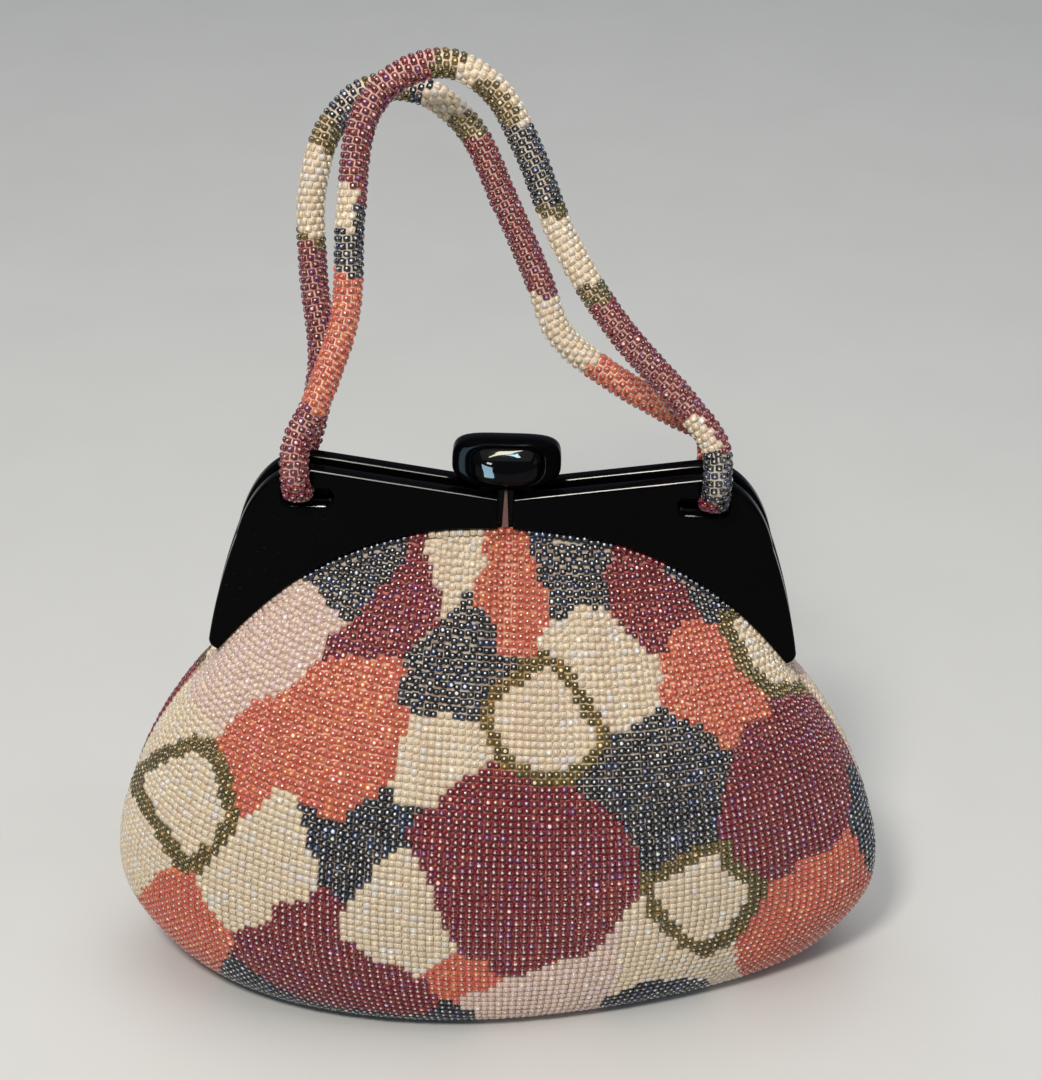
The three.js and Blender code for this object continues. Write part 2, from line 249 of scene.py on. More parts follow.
def piece_grain(tree, scale, detail):
    """Even-grained noise in the piece's own coordinates."""
    place = Shade.node(tree, "ShaderNodeTexCoord", out="Object")
    return Shade.node(tree, "ShaderNodeTexNoise", None, {"Vector": place, "Scale": scale, "Detail": detail})


def set_links(tree, shader, links):
    for socket, shade in links.items():
        tree.links.new(shade.socket, shader.inputs[socket])


def set_bump(tree, shader, height, strength, distance):
    values = {"Height": height, "Strength": strength, "Distance": distance}
    set_links(tree, shader, {"Normal": Shade.node(tree, "ShaderNodeBump", None, values)})


def under_glass_light(tree, colour, share):
    """A thread's colour under the painted light and shade that the glass on it casts, as a tint."""
    glass_light = Shade.node(tree, "ShaderNodeAttribute", {"attribute_name": "thread_glass_light"}, out="Color")
    return Shade.node(tree, "ShaderNodeMix", {"data_type": "RGBA", "blend_type": "MULTIPLY"},
                      {0: share, 6: colour, 7: glass_light}, out=2)


THREAD_LIGHT = paint(244, 228, 208)
THREAD_DARK = paint(186, 154, 134)
THREAD_SHEEN = {"Sheen_Weight": 0.35, "Sheen_Roughness": 0.4}
THREAD_ROUGH = 0.95
THREAD_TONES = (0.15, 0.95)
LEG_SLANT = 0.9
LEG_HEIGHT = 0.35
STITCH_SHADE_SHARE = 0.75
YARN_POLISH = 0.25
FUZZ_GRAIN = {"scale": 900, "detail": 4}
FUZZ_TONE = 0.35
FUZZ_HEIGHT = 0.2
KNIT_BUMP = {"strength": 0.8, "distance": 0.0004}


def knit_finish(name):
    """Cotton thread knitted in small stitches: two slanted legs to each stitch, fuzzy and matt."""
    material, tree, shader = new_finish(name, **THREAD_SHEEN)
    stitches = Shade.node(tree, "ShaderNodeUVMap", {"uv_map": "stitches"})
    across = Shade.node(tree, "ShaderNodeSeparateXYZ", None, {0: stitches}, out="X")
    down = Shade.node(tree, "ShaderNodeSeparateXYZ", None, {0: stitches}, out="Y")
    leg = (across * 2 * math.pi).math("COSINE")
    row = (down * 2 * math.pi + leg * LEG_SLANT).math("SINE")
    yarn = (row * 0.5 + 0.5) * (1 - LEG_HEIGHT + leg * leg * LEG_HEIGHT)
    fuzz = piece_grain(tree, **FUZZ_GRAIN)
    # The colour is painted darker in the dips between the stitches' legs, as shade, and varies at random
    # with the fuzz
    tone = (yarn * STITCH_SHADE_SHARE + fuzz * FUZZ_TONE).rise(*THREAD_TONES)
    # The thread takes all of the painted light and shade from the glass on it
    set_links(tree, shader, {
        "Base Color": under_glass_light(tree, mixed(tree, THREAD_DARK, THREAD_LIGHT, tone), 1.0),
        "Roughness": THREAD_ROUGH - yarn * YARN_POLISH,
    })
    set_bump(tree, shader, yarn + fuzz * FUZZ_HEIGHT, **KNIT_BUMP)
    return material


thread_finish = knit_finish("knitted thread")


def cloth_shell(name, facing, fullness, folds):
    """A panel's knitted cloth as a thin closed wall, with its stitches laid out on its face."""
    face, outward = panel_face(facing, fullness, folds, CLOTH_ROWS, CLOTH_COLUMNS)
    layers = [face - outward * depth for depth in (CLOTH_DEPTH, CLOTH_DEPTH + CLOTH_THICK)]
    for layer in layers:
        layer[:, [0, -1], 1] = facing * SEAM_HALF
        layer[-1, :, 1] = facing * SEAM_HALF
    points = np.concatenate([layer.reshape(-1, 3) for layer in layers])
    index = np.arange(CLOTH_ROWS * CLOTH_COLUMNS).reshape(CLOTH_ROWS, CLOTH_COLUMNS)
    around = [index[:-1, :-1], index[:-1, 1:], index[1:, 1:], index[1:, :-1]]
    quads = np.stack(around, axis=-1).reshape(-1, 4)
    rim = np.concatenate([index[0, :-1], index[:-1, -1], index[-1, :0:-1], index[:0:-1, 0]])
    walls = np.stack([np.roll(rim, -1), rim, rim + index.size, np.roll(rim, -1) + index.size], axis=-1)
    faces = np.concatenate([quads, quads[:, ::-1] + index.size, walls])
    if facing < 0:
        faces = faces[:, ::-1]
    piece = new_piece(name, points, faces.tolist(), thread_finish)
    steps = np.linalg.norm(np.diff(face, axis=1), axis=-1).cumsum(axis=1)
    across = np.pad(steps, ((0, 0), (1, 0))) - steps[:, [CLOTH_COLUMNS // 2]]
    down = np.pad(np.linalg.norm(np.diff(face, axis=0), axis=-1).cumsum(axis=0), ((1, 0), (0, 0)))
    chart = np.stack([across / STITCH_WIDTH, down / STITCH_HEIGHT], axis=-1).reshape(-1, 2)
    corners = np.zeros(len(piece.data.loops), np.int32)
    piece.data.loops.foreach_get("vertex_index", corners)
    stitches = piece.data.uv_layers.new(name="stitches")
    stitches.uv.foreach_set("vector", chart[corners % index.size].astype(np.float32).ravel())
    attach(piece, "bag")
    return piece


Panel = namedtuple("Panel", "facing fullness folds")
PANELS = {"front": Panel(-1, 1, FRONT_FOLDS), "back": Panel(1, BACK_FULLNESS, BACK_FOLDS)}
cloths = {}
for end, panel in PANELS.items():
    cloths[end] = cloth_shell(f"{end}_cloth", *panel)
    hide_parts(f"pouch_{end}")

# Pouch beads
# Glass seed beads of about 2 mm, one in each stitch, in rows with a line of pale thread between them.
# Patches of wine, coral, navy and pale beads meet stitch by stitch, and some are ringed with bronze beads.
BEAD_WIDTH = 0.00262
BEAD_LENGTH = 0.00285
BEAD_HEIGHT = 0.0019
BEAD_PITCH = 0.0027
BEAD_SIDES = 6
BEAD_RINGS = 4
HOLE_DEPTH = 0.3
HOLE_FROM = 0.45
SHOULDER_FROM = 0.2
SQUARE_FILL = 0.9
STITCHES_WIDE = 118
STITCH_MIN = 0.0021
FIRST_ROW = 0.0013
ARCH_GAP = 0.0026
EDGE_DROP = 0.0012
EDGE_PITCH = 0.0024
EDGE_PROUD = 0.0007
ROW_MIDDLE_Z = 0.095
ROW_SAG = 0.6
ROW_TILT = 0.06
FIT_MIN = 0.78
BEAD_STRAY = 0.00009
ZIGZAG = 0.00032
STRETCH_FADE = (0.08, 0.125)
SNUG = 1.14
LOOSE_PITCH = 0.0027
BARREL = 0.13
FINE_ROWS = 401
FINE_COLUMNS = 241
BEAD_SEED = 7
BEAD_TILT = 0.16
SIZE_SPREAD = 0.06
PHOTO_SIZE = (1042, 1080)
CAMERA_AIM = np.array([0.0056, 0, 0.1778])
CAMERA_DISTANCE = 0.851
CAMERA_PITCH = math.radians(30)
CAMERA_ROLL = math.radians(1.5)
PIXEL_SIZE = 0.00035
PIXELS_DEEP = CAMERA_DISTANCE / PIXEL_SIZE
camera_ahead = np.array([0, math.cos(CAMERA_PITCH), -math.sin(CAMERA_PITCH)])
camera_level = np.array([0, math.sin(CAMERA_PITCH), math.cos(CAMERA_PITCH)])
camera_right = math.cos(CAMERA_ROLL) * np.array([1, 0, 0]) + math.sin(CAMERA_ROLL) * camera_level
camera_up = math.cos(CAMERA_ROLL) * camera_level - math.sin(CAMERA_ROLL) * np.array([1, 0, 0])
camera_place = CAMERA_AIM - CAMERA_DISTANCE * camera_ahead

# The patches, each with its outline as read in pixels of the photograph
Patch = namedtuple("Patch", "colour rim outline")
RIM_PIXELS = 14
PATCHES = {
    "ring at the left": Patch("cream", "bronze", (
        (163, 748), (192, 736), (215, 745), (226, 758), (232, 785), (240, 824), (229, 837), (221, 853),
        (202, 863), (195, 875), (176, 866), (163, 847), (150, 826), (137, 805), (130, 785), (134, 766))),
    "ring in the middle": Patch("cream", "bronze", (
        (526, 660), (549, 652), (567, 664), (585, 690), (607, 728), (611, 745), (597, 762), (583, 778),
        (545, 788), (508, 771), (487, 743), (479, 712), (491, 688), (513, 672))),
    "ring at the upper right": Patch("cream", "bronze", (
        (752, 596), (719, 612), (719, 632), (733, 652), (736, 669), (752, 683), (768, 698), (815, 694),
        (850, 680), (800, 580))),
    "ring at the lower right": Patch("cream", "bronze", (
        (645, 871), (663, 865), (683, 853), (704, 841), (730, 841), (734, 862), (751, 871), (766, 882),
        (763, 900), (748, 923), (733, 941), (704, 957), (680, 947), (660, 929), (645, 909), (642, 885))),
    "navy at the right edge": Patch("navy", None, (
        (846, 765), (851, 794), (848, 815), (853, 832), (860, 850), (867, 868), (872, 880), (905, 875),
        (905, 780), (870, 765))),
    "navy under the left plate": Patch("navy", None, (
        (305, 577), (325, 558), (352, 545), (401, 530), (408, 545), (401, 566), (393, 577), (378, 590),
        (365, 608), (348, 621), (336, 611), (325, 600))),
    "wine under the left plate": Patch("wine", None, (
        (401, 530), (427, 528), (425, 551), (433, 566), (435, 582), (443, 590), (440, 603), (438, 621),
        (422, 637), (412, 645), (401, 656), (372, 658), (341, 657), (320, 661), (325, 642), (348, 621),
        (365, 608), (378, 590), (393, 577), (401, 566), (408, 545))),
    "cream left of the slit": Patch("cream", None, (
        (427, 525), (480, 525), (482, 548), (485, 564), (474, 580), (473, 594), (460, 594), (456, 605),
        (440, 618), (440, 603), (443, 590), (435, 582), (433, 566), (425, 551))),
    "coral at the slit": Patch("coral", None, (
        (480, 525), (528, 525), (531, 549), (537, 567), (538, 583), (553, 587), (551, 599), (548, 622),
        (540, 637), (537, 653), (516, 658), (496, 652), (493, 620), (475, 605), (472, 581), (485, 564))),
    "navy right of the slit": Patch("navy", None, (
        (528, 525), (563, 530), (612, 540), (613, 558), (604, 578), (610, 590), (609, 608), (595, 608),
        (581, 605), (569, 611), (563, 620), (548, 620), (553, 587), (538, 583), (537, 567), (531, 549))),
    "wine under the right plate": Patch("wine", None, (
        (612, 540), (645, 546), (663, 552), (666, 578), (686, 584), (686, 596), (698, 608), (702, 620),
        (680, 622), (669, 637), (672, 649), (657, 655), (645, 649), (631, 631), (616, 622), (609, 608),
        (610, 590), (604, 578), (613, 558))),
    "navy under the right plate": Patch("navy", None, (
        (663, 550), (704, 562), (745, 590), (742, 602), (724, 611), (719, 626), (704, 622), (698, 608),
        (686, 596), (686, 584), (666, 578))),
    "blush at the left": Patch("blush", None, (
        (305, 575), (315, 585), (325, 600), (348, 621), (333, 637), (320, 661), (312, 666), (304, 676),
        (286, 692), (270, 697), (252, 703), (236, 716), (222, 735), (190, 700), (200, 650), (250, 605))),
    "coral at the left": Patch("coral", None, (
        (270, 697), (252, 703), (236, 716), (226, 732), (218, 740), (226, 758), (232, 779), (239, 798),
        (242, 819), (252, 816), (263, 800), (278, 787), (297, 795), (307, 805), (323, 816), (341, 819),
        (354, 808), (362, 800), (375, 798), (385, 787), (393, 782), (396, 756), (406, 732), (408, 709),
        (395, 706), (395, 690), (406, 671), (401, 656), (372, 658), (341, 657), (320, 661), (304, 676))),
    "navy left of the middle": Patch("navy", None, (
        (460, 594), (473, 594), (474, 610), (493, 614), (493, 652), (516, 658), (513, 672), (499, 681),
        (490, 687), (479, 712), (480, 725), (459, 721), (443, 712), (427, 718), (411, 717), (395, 706),
        (399, 682), (406, 671), (401, 656), (422, 637), (443, 627), (456, 613))),
    "cream left of the middle": Patch("cream", None, (
        (408, 712), (427, 718), (443, 712), (459, 721), (480, 725), (485, 740), (493, 760), (482, 771),
        (459, 779), (443, 792), (438, 808), (422, 808), (393, 806), (391, 787), (396, 756), (406, 732))),
    "cream right of the middle": Patch("cream", None, (
        (549, 620), (563, 620), (569, 611), (592, 607), (610, 613), (622, 628), (639, 643), (657, 657),
        (663, 672), (666, 681), (657, 691), (660, 706), (642, 721), (628, 730), (611, 738), (607, 728),
        (585, 690), (567, 664), (549, 652), (537, 653), (540, 637))),
    "coral at the right": Patch("coral", None, (
        (680, 622), (704, 622), (719, 626), (722, 637), (733, 655), (736, 669), (766, 688), (768, 698),
        (771, 715), (742, 724), (742, 736), (733, 745), (722, 748), (713, 733), (695, 724), (680, 718),
        (663, 706), (657, 691), (666, 681), (663, 655), (669, 637))),
    "navy right of the middle": Patch("navy", None, (
        (656, 708), (669, 709), (683, 718), (710, 728), (722, 748), (733, 750), (730, 768), (722, 797),
        (719, 812), (716, 838), (698, 844), (683, 853), (663, 865), (645, 875), (637, 853), (628, 832),
        (616, 818), (598, 803), (578, 794), (581, 780), (595, 765), (610, 739), (628, 730), (642, 721))),
    "wine at the right": Patch("wine", None, (
        (768, 698), (815, 692), (850, 735), (870, 800), (850, 823), (830, 847), (798, 862), (789, 876),
        (766, 880), (751, 871), (733, 856), (724, 838), (719, 812), (724, 783), (733, 747), (742, 724),
        (771, 715))),
    "wine in the middle": Patch("wine", None, (
        (491, 763), (508, 771), (534, 783), (563, 791), (587, 797), (610, 812), (631, 832), (637, 856),
        (643, 880), (634, 903), (619, 920), (604, 941), (587, 953), (563, 956), (543, 967), (519, 975),
        (493, 975), (487, 962), (467, 957), (456, 944), (448, 936), (443, 918), (435, 902), (430, 881),
        (419, 868), (412, 847), (409, 829), (422, 812), (440, 808), (443, 792), (461, 779), (485, 769))),
    "coral at the lower right": Patch("coral", None, (
        (766, 882), (789, 876), (798, 862), (830, 847), (850, 824), (880, 850), (865, 905), (821, 948),
        (786, 967), (766, 973), (739, 973), (736, 950), (748, 923), (763, 900))),
    "cream at the lower left": Patch("cream", None, (
        (278, 787), (297, 798), (302, 816), (307, 837), (310, 858), (320, 863), (319, 884), (307, 901),
        (273, 902), (270, 923), (247, 928), (231, 931), (215, 915), (202, 900), (200, 876), (221, 853),
        (229, 837), (242, 821), (252, 816), (270, 795))),
    "navy at the lower left": Patch("navy", None, (
        (297, 797), (310, 808), (323, 818), (341, 821), (354, 811), (362, 799), (380, 795), (382, 786),
        (393, 790), (393, 808), (422, 808), (422, 821), (409, 829), (406, 845), (391, 850), (388, 858),
        (375, 863), (372, 879), (359, 884), (352, 900), (341, 900), (333, 889), (320, 886), (320, 860),
        (310, 858), (307, 837), (302, 816))),
    "cream below the middle": Patch("cream", None, (
        (399, 847), (412, 850), (419, 868), (433, 887), (435, 910), (446, 931), (455, 952), (443, 958),
        (433, 965), (422, 977), (404, 973), (401, 965), (378, 960), (362, 955), (357, 942), (341, 936),
        (342, 915), (352, 902), (362, 887), (375, 879), (376, 863), (391, 858))),
    "coral under the middle": Patch("coral", None, (
        (422, 976), (433, 965), (443, 958), (464, 957), (493, 968), (498, 976), (493, 989), (464, 994),
        (456, 1003), (438, 996), (427, 986))),
    "coral at the left heel": Patch("coral", None, (
        (158, 874), (176, 869), (195, 876), (200, 894), (208, 910), (221, 921), (232, 934), (231, 953),
        (200, 958), (150, 920), (138, 898))),
    "wine at the left heel": Patch("wine", None, (
        (232, 934), (247, 928), (270, 923), (273, 902), (307, 902), (320, 889), (333, 892), (344, 907),
        (338, 928), (344, 941), (357, 944), (365, 957), (380, 961), (401, 965), (409, 975), (422, 978),
        (430, 991), (438, 999), (434, 1012), (400, 1014), (352, 1008), (312, 1001), (284, 990), (257, 974),
        (231, 953))),
    "navy under the left heel": Patch("navy", None, (
        (231, 953), (257, 974), (284, 990), (312, 1001), (352, 1008), (400, 1014), (434, 1012), (438, 997),
        (456, 1003), (476, 1014), (470, 1040), (330, 1035), (240, 990))),
    "navy under the right heel": Patch("navy", None, (
        (601, 1003), (616, 994), (645, 980), (689, 979), (713, 981), (689, 991), (645, 1003), (610, 1009))),
    "blush under the middle": Patch("blush", None, (
        (493, 989), (519, 977), (543, 969), (587, 955), (604, 943), (619, 930), (620, 975), (600, 1003),
        (610, 1012), (560, 1030), (476, 1030), (456, 1003), (464, 994))),
    "cream under the right heel": Patch("cream", None, (
        (619, 922), (634, 903), (645, 885), (645, 909), (660, 929), (680, 947), (704, 957), (733, 943),
        (739, 973), (766, 975), (740, 1000), (640, 1020), (610, 1009), (645, 1003), (713, 981), (645, 979),
        (616, 994), (620, 975))),
    "cream at the left edge": Patch("cream", None, (
        (200, 660), (190, 700), (222, 735), (192, 736), (163, 748), (134, 766), (130, 785), (150, 826),
        (176, 866), (158, 874), (138, 898), (100, 850), (100, 780), (140, 700))),
}

# The glass: the colour of a bead's painted highlight, the dark ring round it, its rim's colour, painted
# lighter as light showing through the glass, two tints of painted oily sheen and its share, the share of the
# painted highlight that is scattered in a grain, how rough it is, and the tint of the light and shade that
# the glass casts on the thread round it, painted on the thread
Glass = namedtuple("Glass", "speck ring rim cool warm sheen cloud rough thread")
GLASS = {
    "wine": Glass(paint(255, 218, 210), paint(26, 2, 8), paint(124, 26, 38), paint(92, 34, 116),
                  paint(160, 62, 44), 0.4, 0.0, 0.12, (0.62, 0.28, 0.28, 1)),
    "coral": Glass(paint(255, 236, 212), paint(126, 30, 20), paint(208, 92, 66), paint(208, 88, 96),
                   paint(226, 130, 68), 0.5, 0.1, 0.14, (1.0, 0.72, 0.60, 1)),
    "navy": Glass(paint(234, 238, 244), paint(2, 3, 6), paint(16, 18, 25), paint(46, 66, 118),
                  paint(80, 78, 68), 0.4, 0.0, 0.1, (0.66, 0.66, 0.65, 1)),
    "cream": Glass(paint(255, 250, 236), paint(184, 158, 126), paint(222, 202, 172), paint(202, 212, 228),
                   paint(234, 210, 160), 0.4, 0.65, 0.2, (0.94, 0.95, 0.92, 1)),
    "blush": Glass(paint(255, 248, 240), paint(178, 144, 128), paint(218, 190, 174), paint(218, 200, 218),
                   paint(236, 208, 176), 0.4, 0.2, 0.2, (0.94, 0.90, 0.88, 1)),
    "bronze": Glass(paint(250, 230, 172), paint(24, 17, 3), paint(92, 75, 30), paint(62, 68, 40),
                    paint(146, 110, 36), 0.5, 0.0, 0.12, (0.78, 0.70, 0.48, 1)),
}
GLASS_SURFACE = {"IOR": 1.55, "Coat_Weight": 0.5, "Coat_Roughness": 0.05}
HIGHLIGHT_SHIFT = (-0.05, 0.07)
HIGHLIGHT_EDGE = (0.08, 0.19)
HIGHLIGHT_LEAST = 0.4
RIM_LIGHT_EDGE = (0.24, 0.38)
RIM_LIGHT_MORE = 0.25
SCATTER_GRAIN = {"scale": 1700, "detail": 2}
SCATTER_EDGE = (0.5, 0.66)
TINT_TURNS = 5
TINT_EDGE = (0.35, 0.65)
SHEEN_BEADS = (0.5, 1.0)
SPARK_BEADS = (0.965, 0.985)
SPARK_EDGE = (0.12, 0.28)
HOLE_EDGE = (0.3, 0.9)
HOLE_SHADE = 0.8
ROUGH_SPREAD = 0.14


def glass_finish(colour):
    """Lustred glass: a highlight painted in the middle, dark round that, a rim painted lighter, painted
    sheen on some beads.
    """
    look = GLASS[colour]
    material, tree, shader = new_finish(f"{colour} glass", **GLASS_SURFACE)
    spot = Shade.node(tree, "ShaderNodeAttribute", {"attribute_name": "bead_spot"}, out="Vector")
    along, aside = (Shade.node(tree, "ShaderNodeSeparateXYZ", None, {0: spot}, out=axis) for axis in "XY")
    hole, shade, glint = (
        Shade.node(tree, "ShaderNodeAttribute", {"attribute_name": name}, out="Fac")
        for name in ("bead_hole", "bead_shade", "bead_glint")
    )
    from_middle = (along * along + aside * aside) ** 0.5
    # A highlight is painted on each bead, a little up and to the left of its middle, towards the key lamp
    highlight_along, highlight_aside = along - HIGHLIGHT_SHIFT[0], aside - HIGHLIGHT_SHIFT[1]
    from_highlight = (highlight_along * highlight_along + highlight_aside * highlight_aside) ** 0.5
    # On the paler glass, part of the painted highlight is scattered over the bead in a fine grain instead of
    # a speck
    cloud = piece_grain(tree, **SCATTER_GRAIN).rise(*SCATTER_EDGE)
    # Painted oily sheen: each bead takes one of the two sheen tints, laid over the body of the beads whose
    # glint is high
    sheen = mixed(tree, look.cool, look.warm, (shade * TINT_TURNS).math("FRACT").rise(*TINT_EDGE))
    # The body is painted from the dark ring to a lighter rim, as light showing through the glass at the
    # bead's edge; some beads at random get more of the rim
    body = mixed(tree, look.ring, look.rim, from_middle.rise(*RIM_LIGHT_EDGE) + (1 - shade) * RIM_LIGHT_MORE)
    sheened = mixed(tree, body, sheen, glint.rise(*SHEEN_BEADS) * look.sheen)
    speck = (1 - from_highlight.rise(*HIGHLIGHT_EDGE)) * (1 - look.cloud) + cloud * look.cloud
    # A few beads at random get a larger painted sparkle highlight over their middle
    spark = glint.rise(*SPARK_BEADS) * (1 - from_middle.rise(*SPARK_EDGE))
    # The painted highlight and sparkle are laid over the body in the highlight's colour, stronger on some
    # beads
    lit = mixed(tree, sheened, look.speck, speck * (HIGHLIGHT_LEAST + shade * (1 - HIGHLIGHT_LEAST)) + spark)
    # The ends of the bead's hole are painted dark in the ring's colour, as shade inside the hole
    set_links(tree, shader, {
        "Base Color": mixed(tree, lit, look.ring, hole.rise(*HOLE_EDGE) * HOLE_SHADE),
        "Roughness": look.rough + shade * ROUGH_SPREAD,
    })
    return material


glass_finishes = {colour: glass_finish(colour) for colour in GLASS}


def bead_tree():
    """Sews a bead on every point: it stands along the point's "stand" and turns its hole along "along"."""
    tree = bpy.data.node_groups.new("sewn beads", "GeometryNodeTree")
    sockets = {}
    for name, kind in (
        ("Points", "Geometry"), ("Bead width", "Float"), ("Bead length", "Float"), ("Bead height", "Float"),
        ("Sides", "Int"), ("Hole depth", "Float"), ("Size spread", "Float"), ("Tilt", "Float"),
        ("Seed", "Int"), ("Glass", "Material"),
    ):
        sockets[name] = tree.interface.new_socket(name, in_out="INPUT", socket_type=f"NodeSocket{kind}")
    tree.interface.new_socket("Beads", in_out="OUTPUT", socket_type="NodeSocketGeometry")
    given = tree.nodes.new("NodeGroupInput")
    entry = {name: Shade(given.outputs[name]) for name in sockets}

    def named(name, kind):
        return Shade.node(tree, "GeometryNodeInputNamedAttribute", {"data_type": kind}, {"Name": name})

    def store(geometry, name, value, kind="FLOAT", domain="POINT"):
        return Shade.node(tree, "GeometryNodeStoreNamedAttribute", {"data_type": kind, "domain": domain},
                          {"Geometry": geometry, "Name": name, "Value": value})

    def chance(low, high, seed_step):
        return Shade.node(tree, "FunctionNodeRandomValue", {"data_type": "FLOAT"},
                          {2: low, 3: high, "Seed": entry["Seed"] + seed_step}, out=1)

    def vector(x, y, z):
        return Shade.node(tree, "ShaderNodeCombineXYZ", None, {0: x, 1: y, 2: z})

    ball = Shade.node(tree, "GeometryNodeMeshUVSphere", None, {
        "Segments": entry["Sides"], "Rings": BEAD_RINGS, "Radius": 0.5})
    place = Shade.node(tree, "GeometryNodeInputPosition")
    x, y, z = (Shade.node(tree, "ShaderNodeSeparateXYZ", None, {0: place}, out=axis) for axis in "XYZ")
    from_middle = z.math("ABSOLUTE")
    hole = from_middle.math("GREATER_THAN", HOLE_FROM)
    shoulder = from_middle.math("GREATER_THAN", SHOULDER_FROM) - hole
    bulged = 1 + shoulder * BARREL
    longer = 1 + shoulder * BARREL * 2 - hole * entry["Hole depth"]
    ball = store(ball, "bead_hole", hole)
    barrel = vector(x * bulged, y * bulged, z * longer)
    ball = Shade.node(tree, "GeometryNodeSetPosition", None, {"Geometry": ball, "Position": barrel})
    ball = Shade.node(tree, "GeometryNodeTransform", None, {
        "Geometry": ball, "Rotation": (0, -math.pi / 2, 0)})
    ball = store(ball, "bead_spot", place, "FLOAT_VECTOR")
    on_square = vector(x * SQUARE_FILL + 0.5, z * SQUARE_FILL + 0.5, 0)
    ball = store(ball, "bead_side", on_square, "FLOAT_VECTOR")
    stand = Shade.node(tree, "FunctionNodeAlignRotationToVector", {"axis": "Z"},
                       {"Vector": named("stand", "FLOAT_VECTOR")})
    turned = Shade.node(tree, "FunctionNodeAlignRotationToVector", {"axis": "X", "pivot_axis": "Z"},
                        {"Rotation": stand, "Vector": named("along", "FLOAT_VECTOR")})
    lean = vector(*(chance(entry["Tilt"] * -1, entry["Tilt"], step) for step in (1, 2, 3)))
    leaned = Shade.node(tree, "FunctionNodeRotateRotation", {"rotation_space": "LOCAL"},
                        {0: turned, 1: Shade.node(tree, "FunctionNodeEulerToRotation", None, {0: lean})})
    size = chance(1 - entry["Size spread"], 1 + entry["Size spread"], 4)
    length, width, height = (entry[f"Bead {side}"] * size for side in ("length", "width", "height"))
    scale = vector(length * named("fit", "FLOAT"), width * named("broad", "FLOAT"), height)
    beads = Shade.node(tree, "GeometryNodeInstanceOnPoints", None, {
        "Points": entry["Points"], "Instance": ball, "Rotation": leaned, "Scale": scale})
    beads = store(beads, "bead_shade", chance(0.0, 1.0, 5), domain="INSTANCE")
    beads = store(beads, "bead_glint", chance(0.0, 1.0, 6), domain="INSTANCE")
    beads = Shade.node(tree, "GeometryNodeRealizeInstances", None, {"Geometry": beads})
    own_square = Shade.node(tree, "ShaderNodeVectorMath", {"operation": "MULTIPLY_ADD"}, {
        0: named("bead_side", "FLOAT_VECTOR"), 1: named("square_size", "FLOAT_VECTOR"),
        2: named("square", "FLOAT_VECTOR")})
    beads = store(beads, "OFBake", own_square, "FLOAT2", "CORNER")
    for name in ("stand", "along", "fit", "broad", "bead_side", "square", "square_size"):
        beads = Shade.node(tree, "GeometryNodeRemoveAttribute", None, {"Geometry": beads, "Name": name})
    beads = Shade.node(tree, "GeometryNodeSetMaterial", None, {
        "Geometry": beads, "Material": entry["Glass"]})
    tree.links.new(beads.socket, tree.nodes.new("NodeGroupOutput").inputs[0])
    return tree, {name: socket.identifier for name, socket in sockets.items()}


sewn_beads, bead_inputs = bead_tree()
Bead = namedtuple("Bead", "place stand along fit broad")


def made_plain(source, name):
    """The evaluated object's mesh as a new plain piece, in place of the source."""
    ready = bpy.context.evaluated_depsgraph_get()
    mesh = bpy.data.meshes.new_from_object(source.evaluated_get(ready), depsgraph=ready)
    mesh.name = name
    mesh.shade_smooth()
    bpy.data.objects.remove(source)
    return new_object(name, mesh)


def sew(name, beads, colour, seed):
    """One piece with all the beads of one colour."""
    mesh = bpy.data.meshes.new(name)
    mesh.from_pydata([tuple(place) for place in beads.place], [], [])
    grid = math.ceil(math.sqrt(len(beads.place)))
    cells = np.arange(len(beads.place))
    square = np.stack([cells % grid, cells // grid, 0 * cells], axis=-1) / grid
    vectors = {"stand": beads.stand, "along": beads.along, "square": square,
               "square_size": np.full((len(cells), 3), 1 / grid)}
    for attribute, values in vectors.items():
        layer = mesh.attributes.new(attribute, "FLOAT_VECTOR", "POINT")
        layer.data.foreach_set("vector", values.astype(np.float32).ravel())
    for attribute, values in (("fit", beads.fit), ("broad", beads.broad)):
        layer = mesh.attributes.new(attribute, "FLOAT", "POINT")
        layer.data.foreach_set("value", values.astype(np.float32))
    sown = new_object(name, mesh)
    sewing = sown.modifiers.new("sewn beads", "NODES")
    sewing.node_group = sewn_beads
    sizes = {"Bead width": BEAD_WIDTH, "Bead length": BEAD_LENGTH, "Bead height": BEAD_HEIGHT,
             "Sides": BEAD_SIDES, "Hole depth": HOLE_DEPTH, "Size spread": SIZE_SPREAD, "Tilt": BEAD_TILT,
             "Seed": seed, "Glass": glass_finishes[colour]}
    for title, value in sizes.items():
        sewing[bead_inputs[title]] = value
    piece = made_plain(sown, name)
    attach(piece, "bag")
    return piece


def photo_pixels(points):
    """Where the camera shows points, in pixels of the photograph."""
    rays = points - camera_place
    depth = rays @ camera_ahead
    across = PHOTO_SIZE[0] / 2 + PIXELS_DEEP * (rays @ camera_right) / depth
    down = PHOTO_SIZE[1] / 2 - PIXELS_DEEP * (rays @ camera_up) / depth
    return np.stack([across, down], axis=-1)


def outline_reach(outline, spots):
    """Whether each spot is inside an outline, and how far it is from the outline's edge."""
    inside = np.zeros(len(spots), bool)
    reach = np.full(len(spots), np.inf)
    corners = np.array(outline, float)
    for start, end in zip(corners, np.roll(corners, -1, axis=0)):
        side = end - start
        from_start = spots - start
        if start[1] != end[1]:
            crosses = (start[1] > spots[:, 1]) != (end[1] > spots[:, 1])
            inside ^= crosses & (from_start[:, 0] < from_start[:, 1] * side[0] / side[1])
        part = np.clip(from_start @ side / (side @ side), 0, 1)
        reach = np.minimum(reach, np.linalg.norm(from_start - part[:, None] * side, axis=1))
    return inside, reach


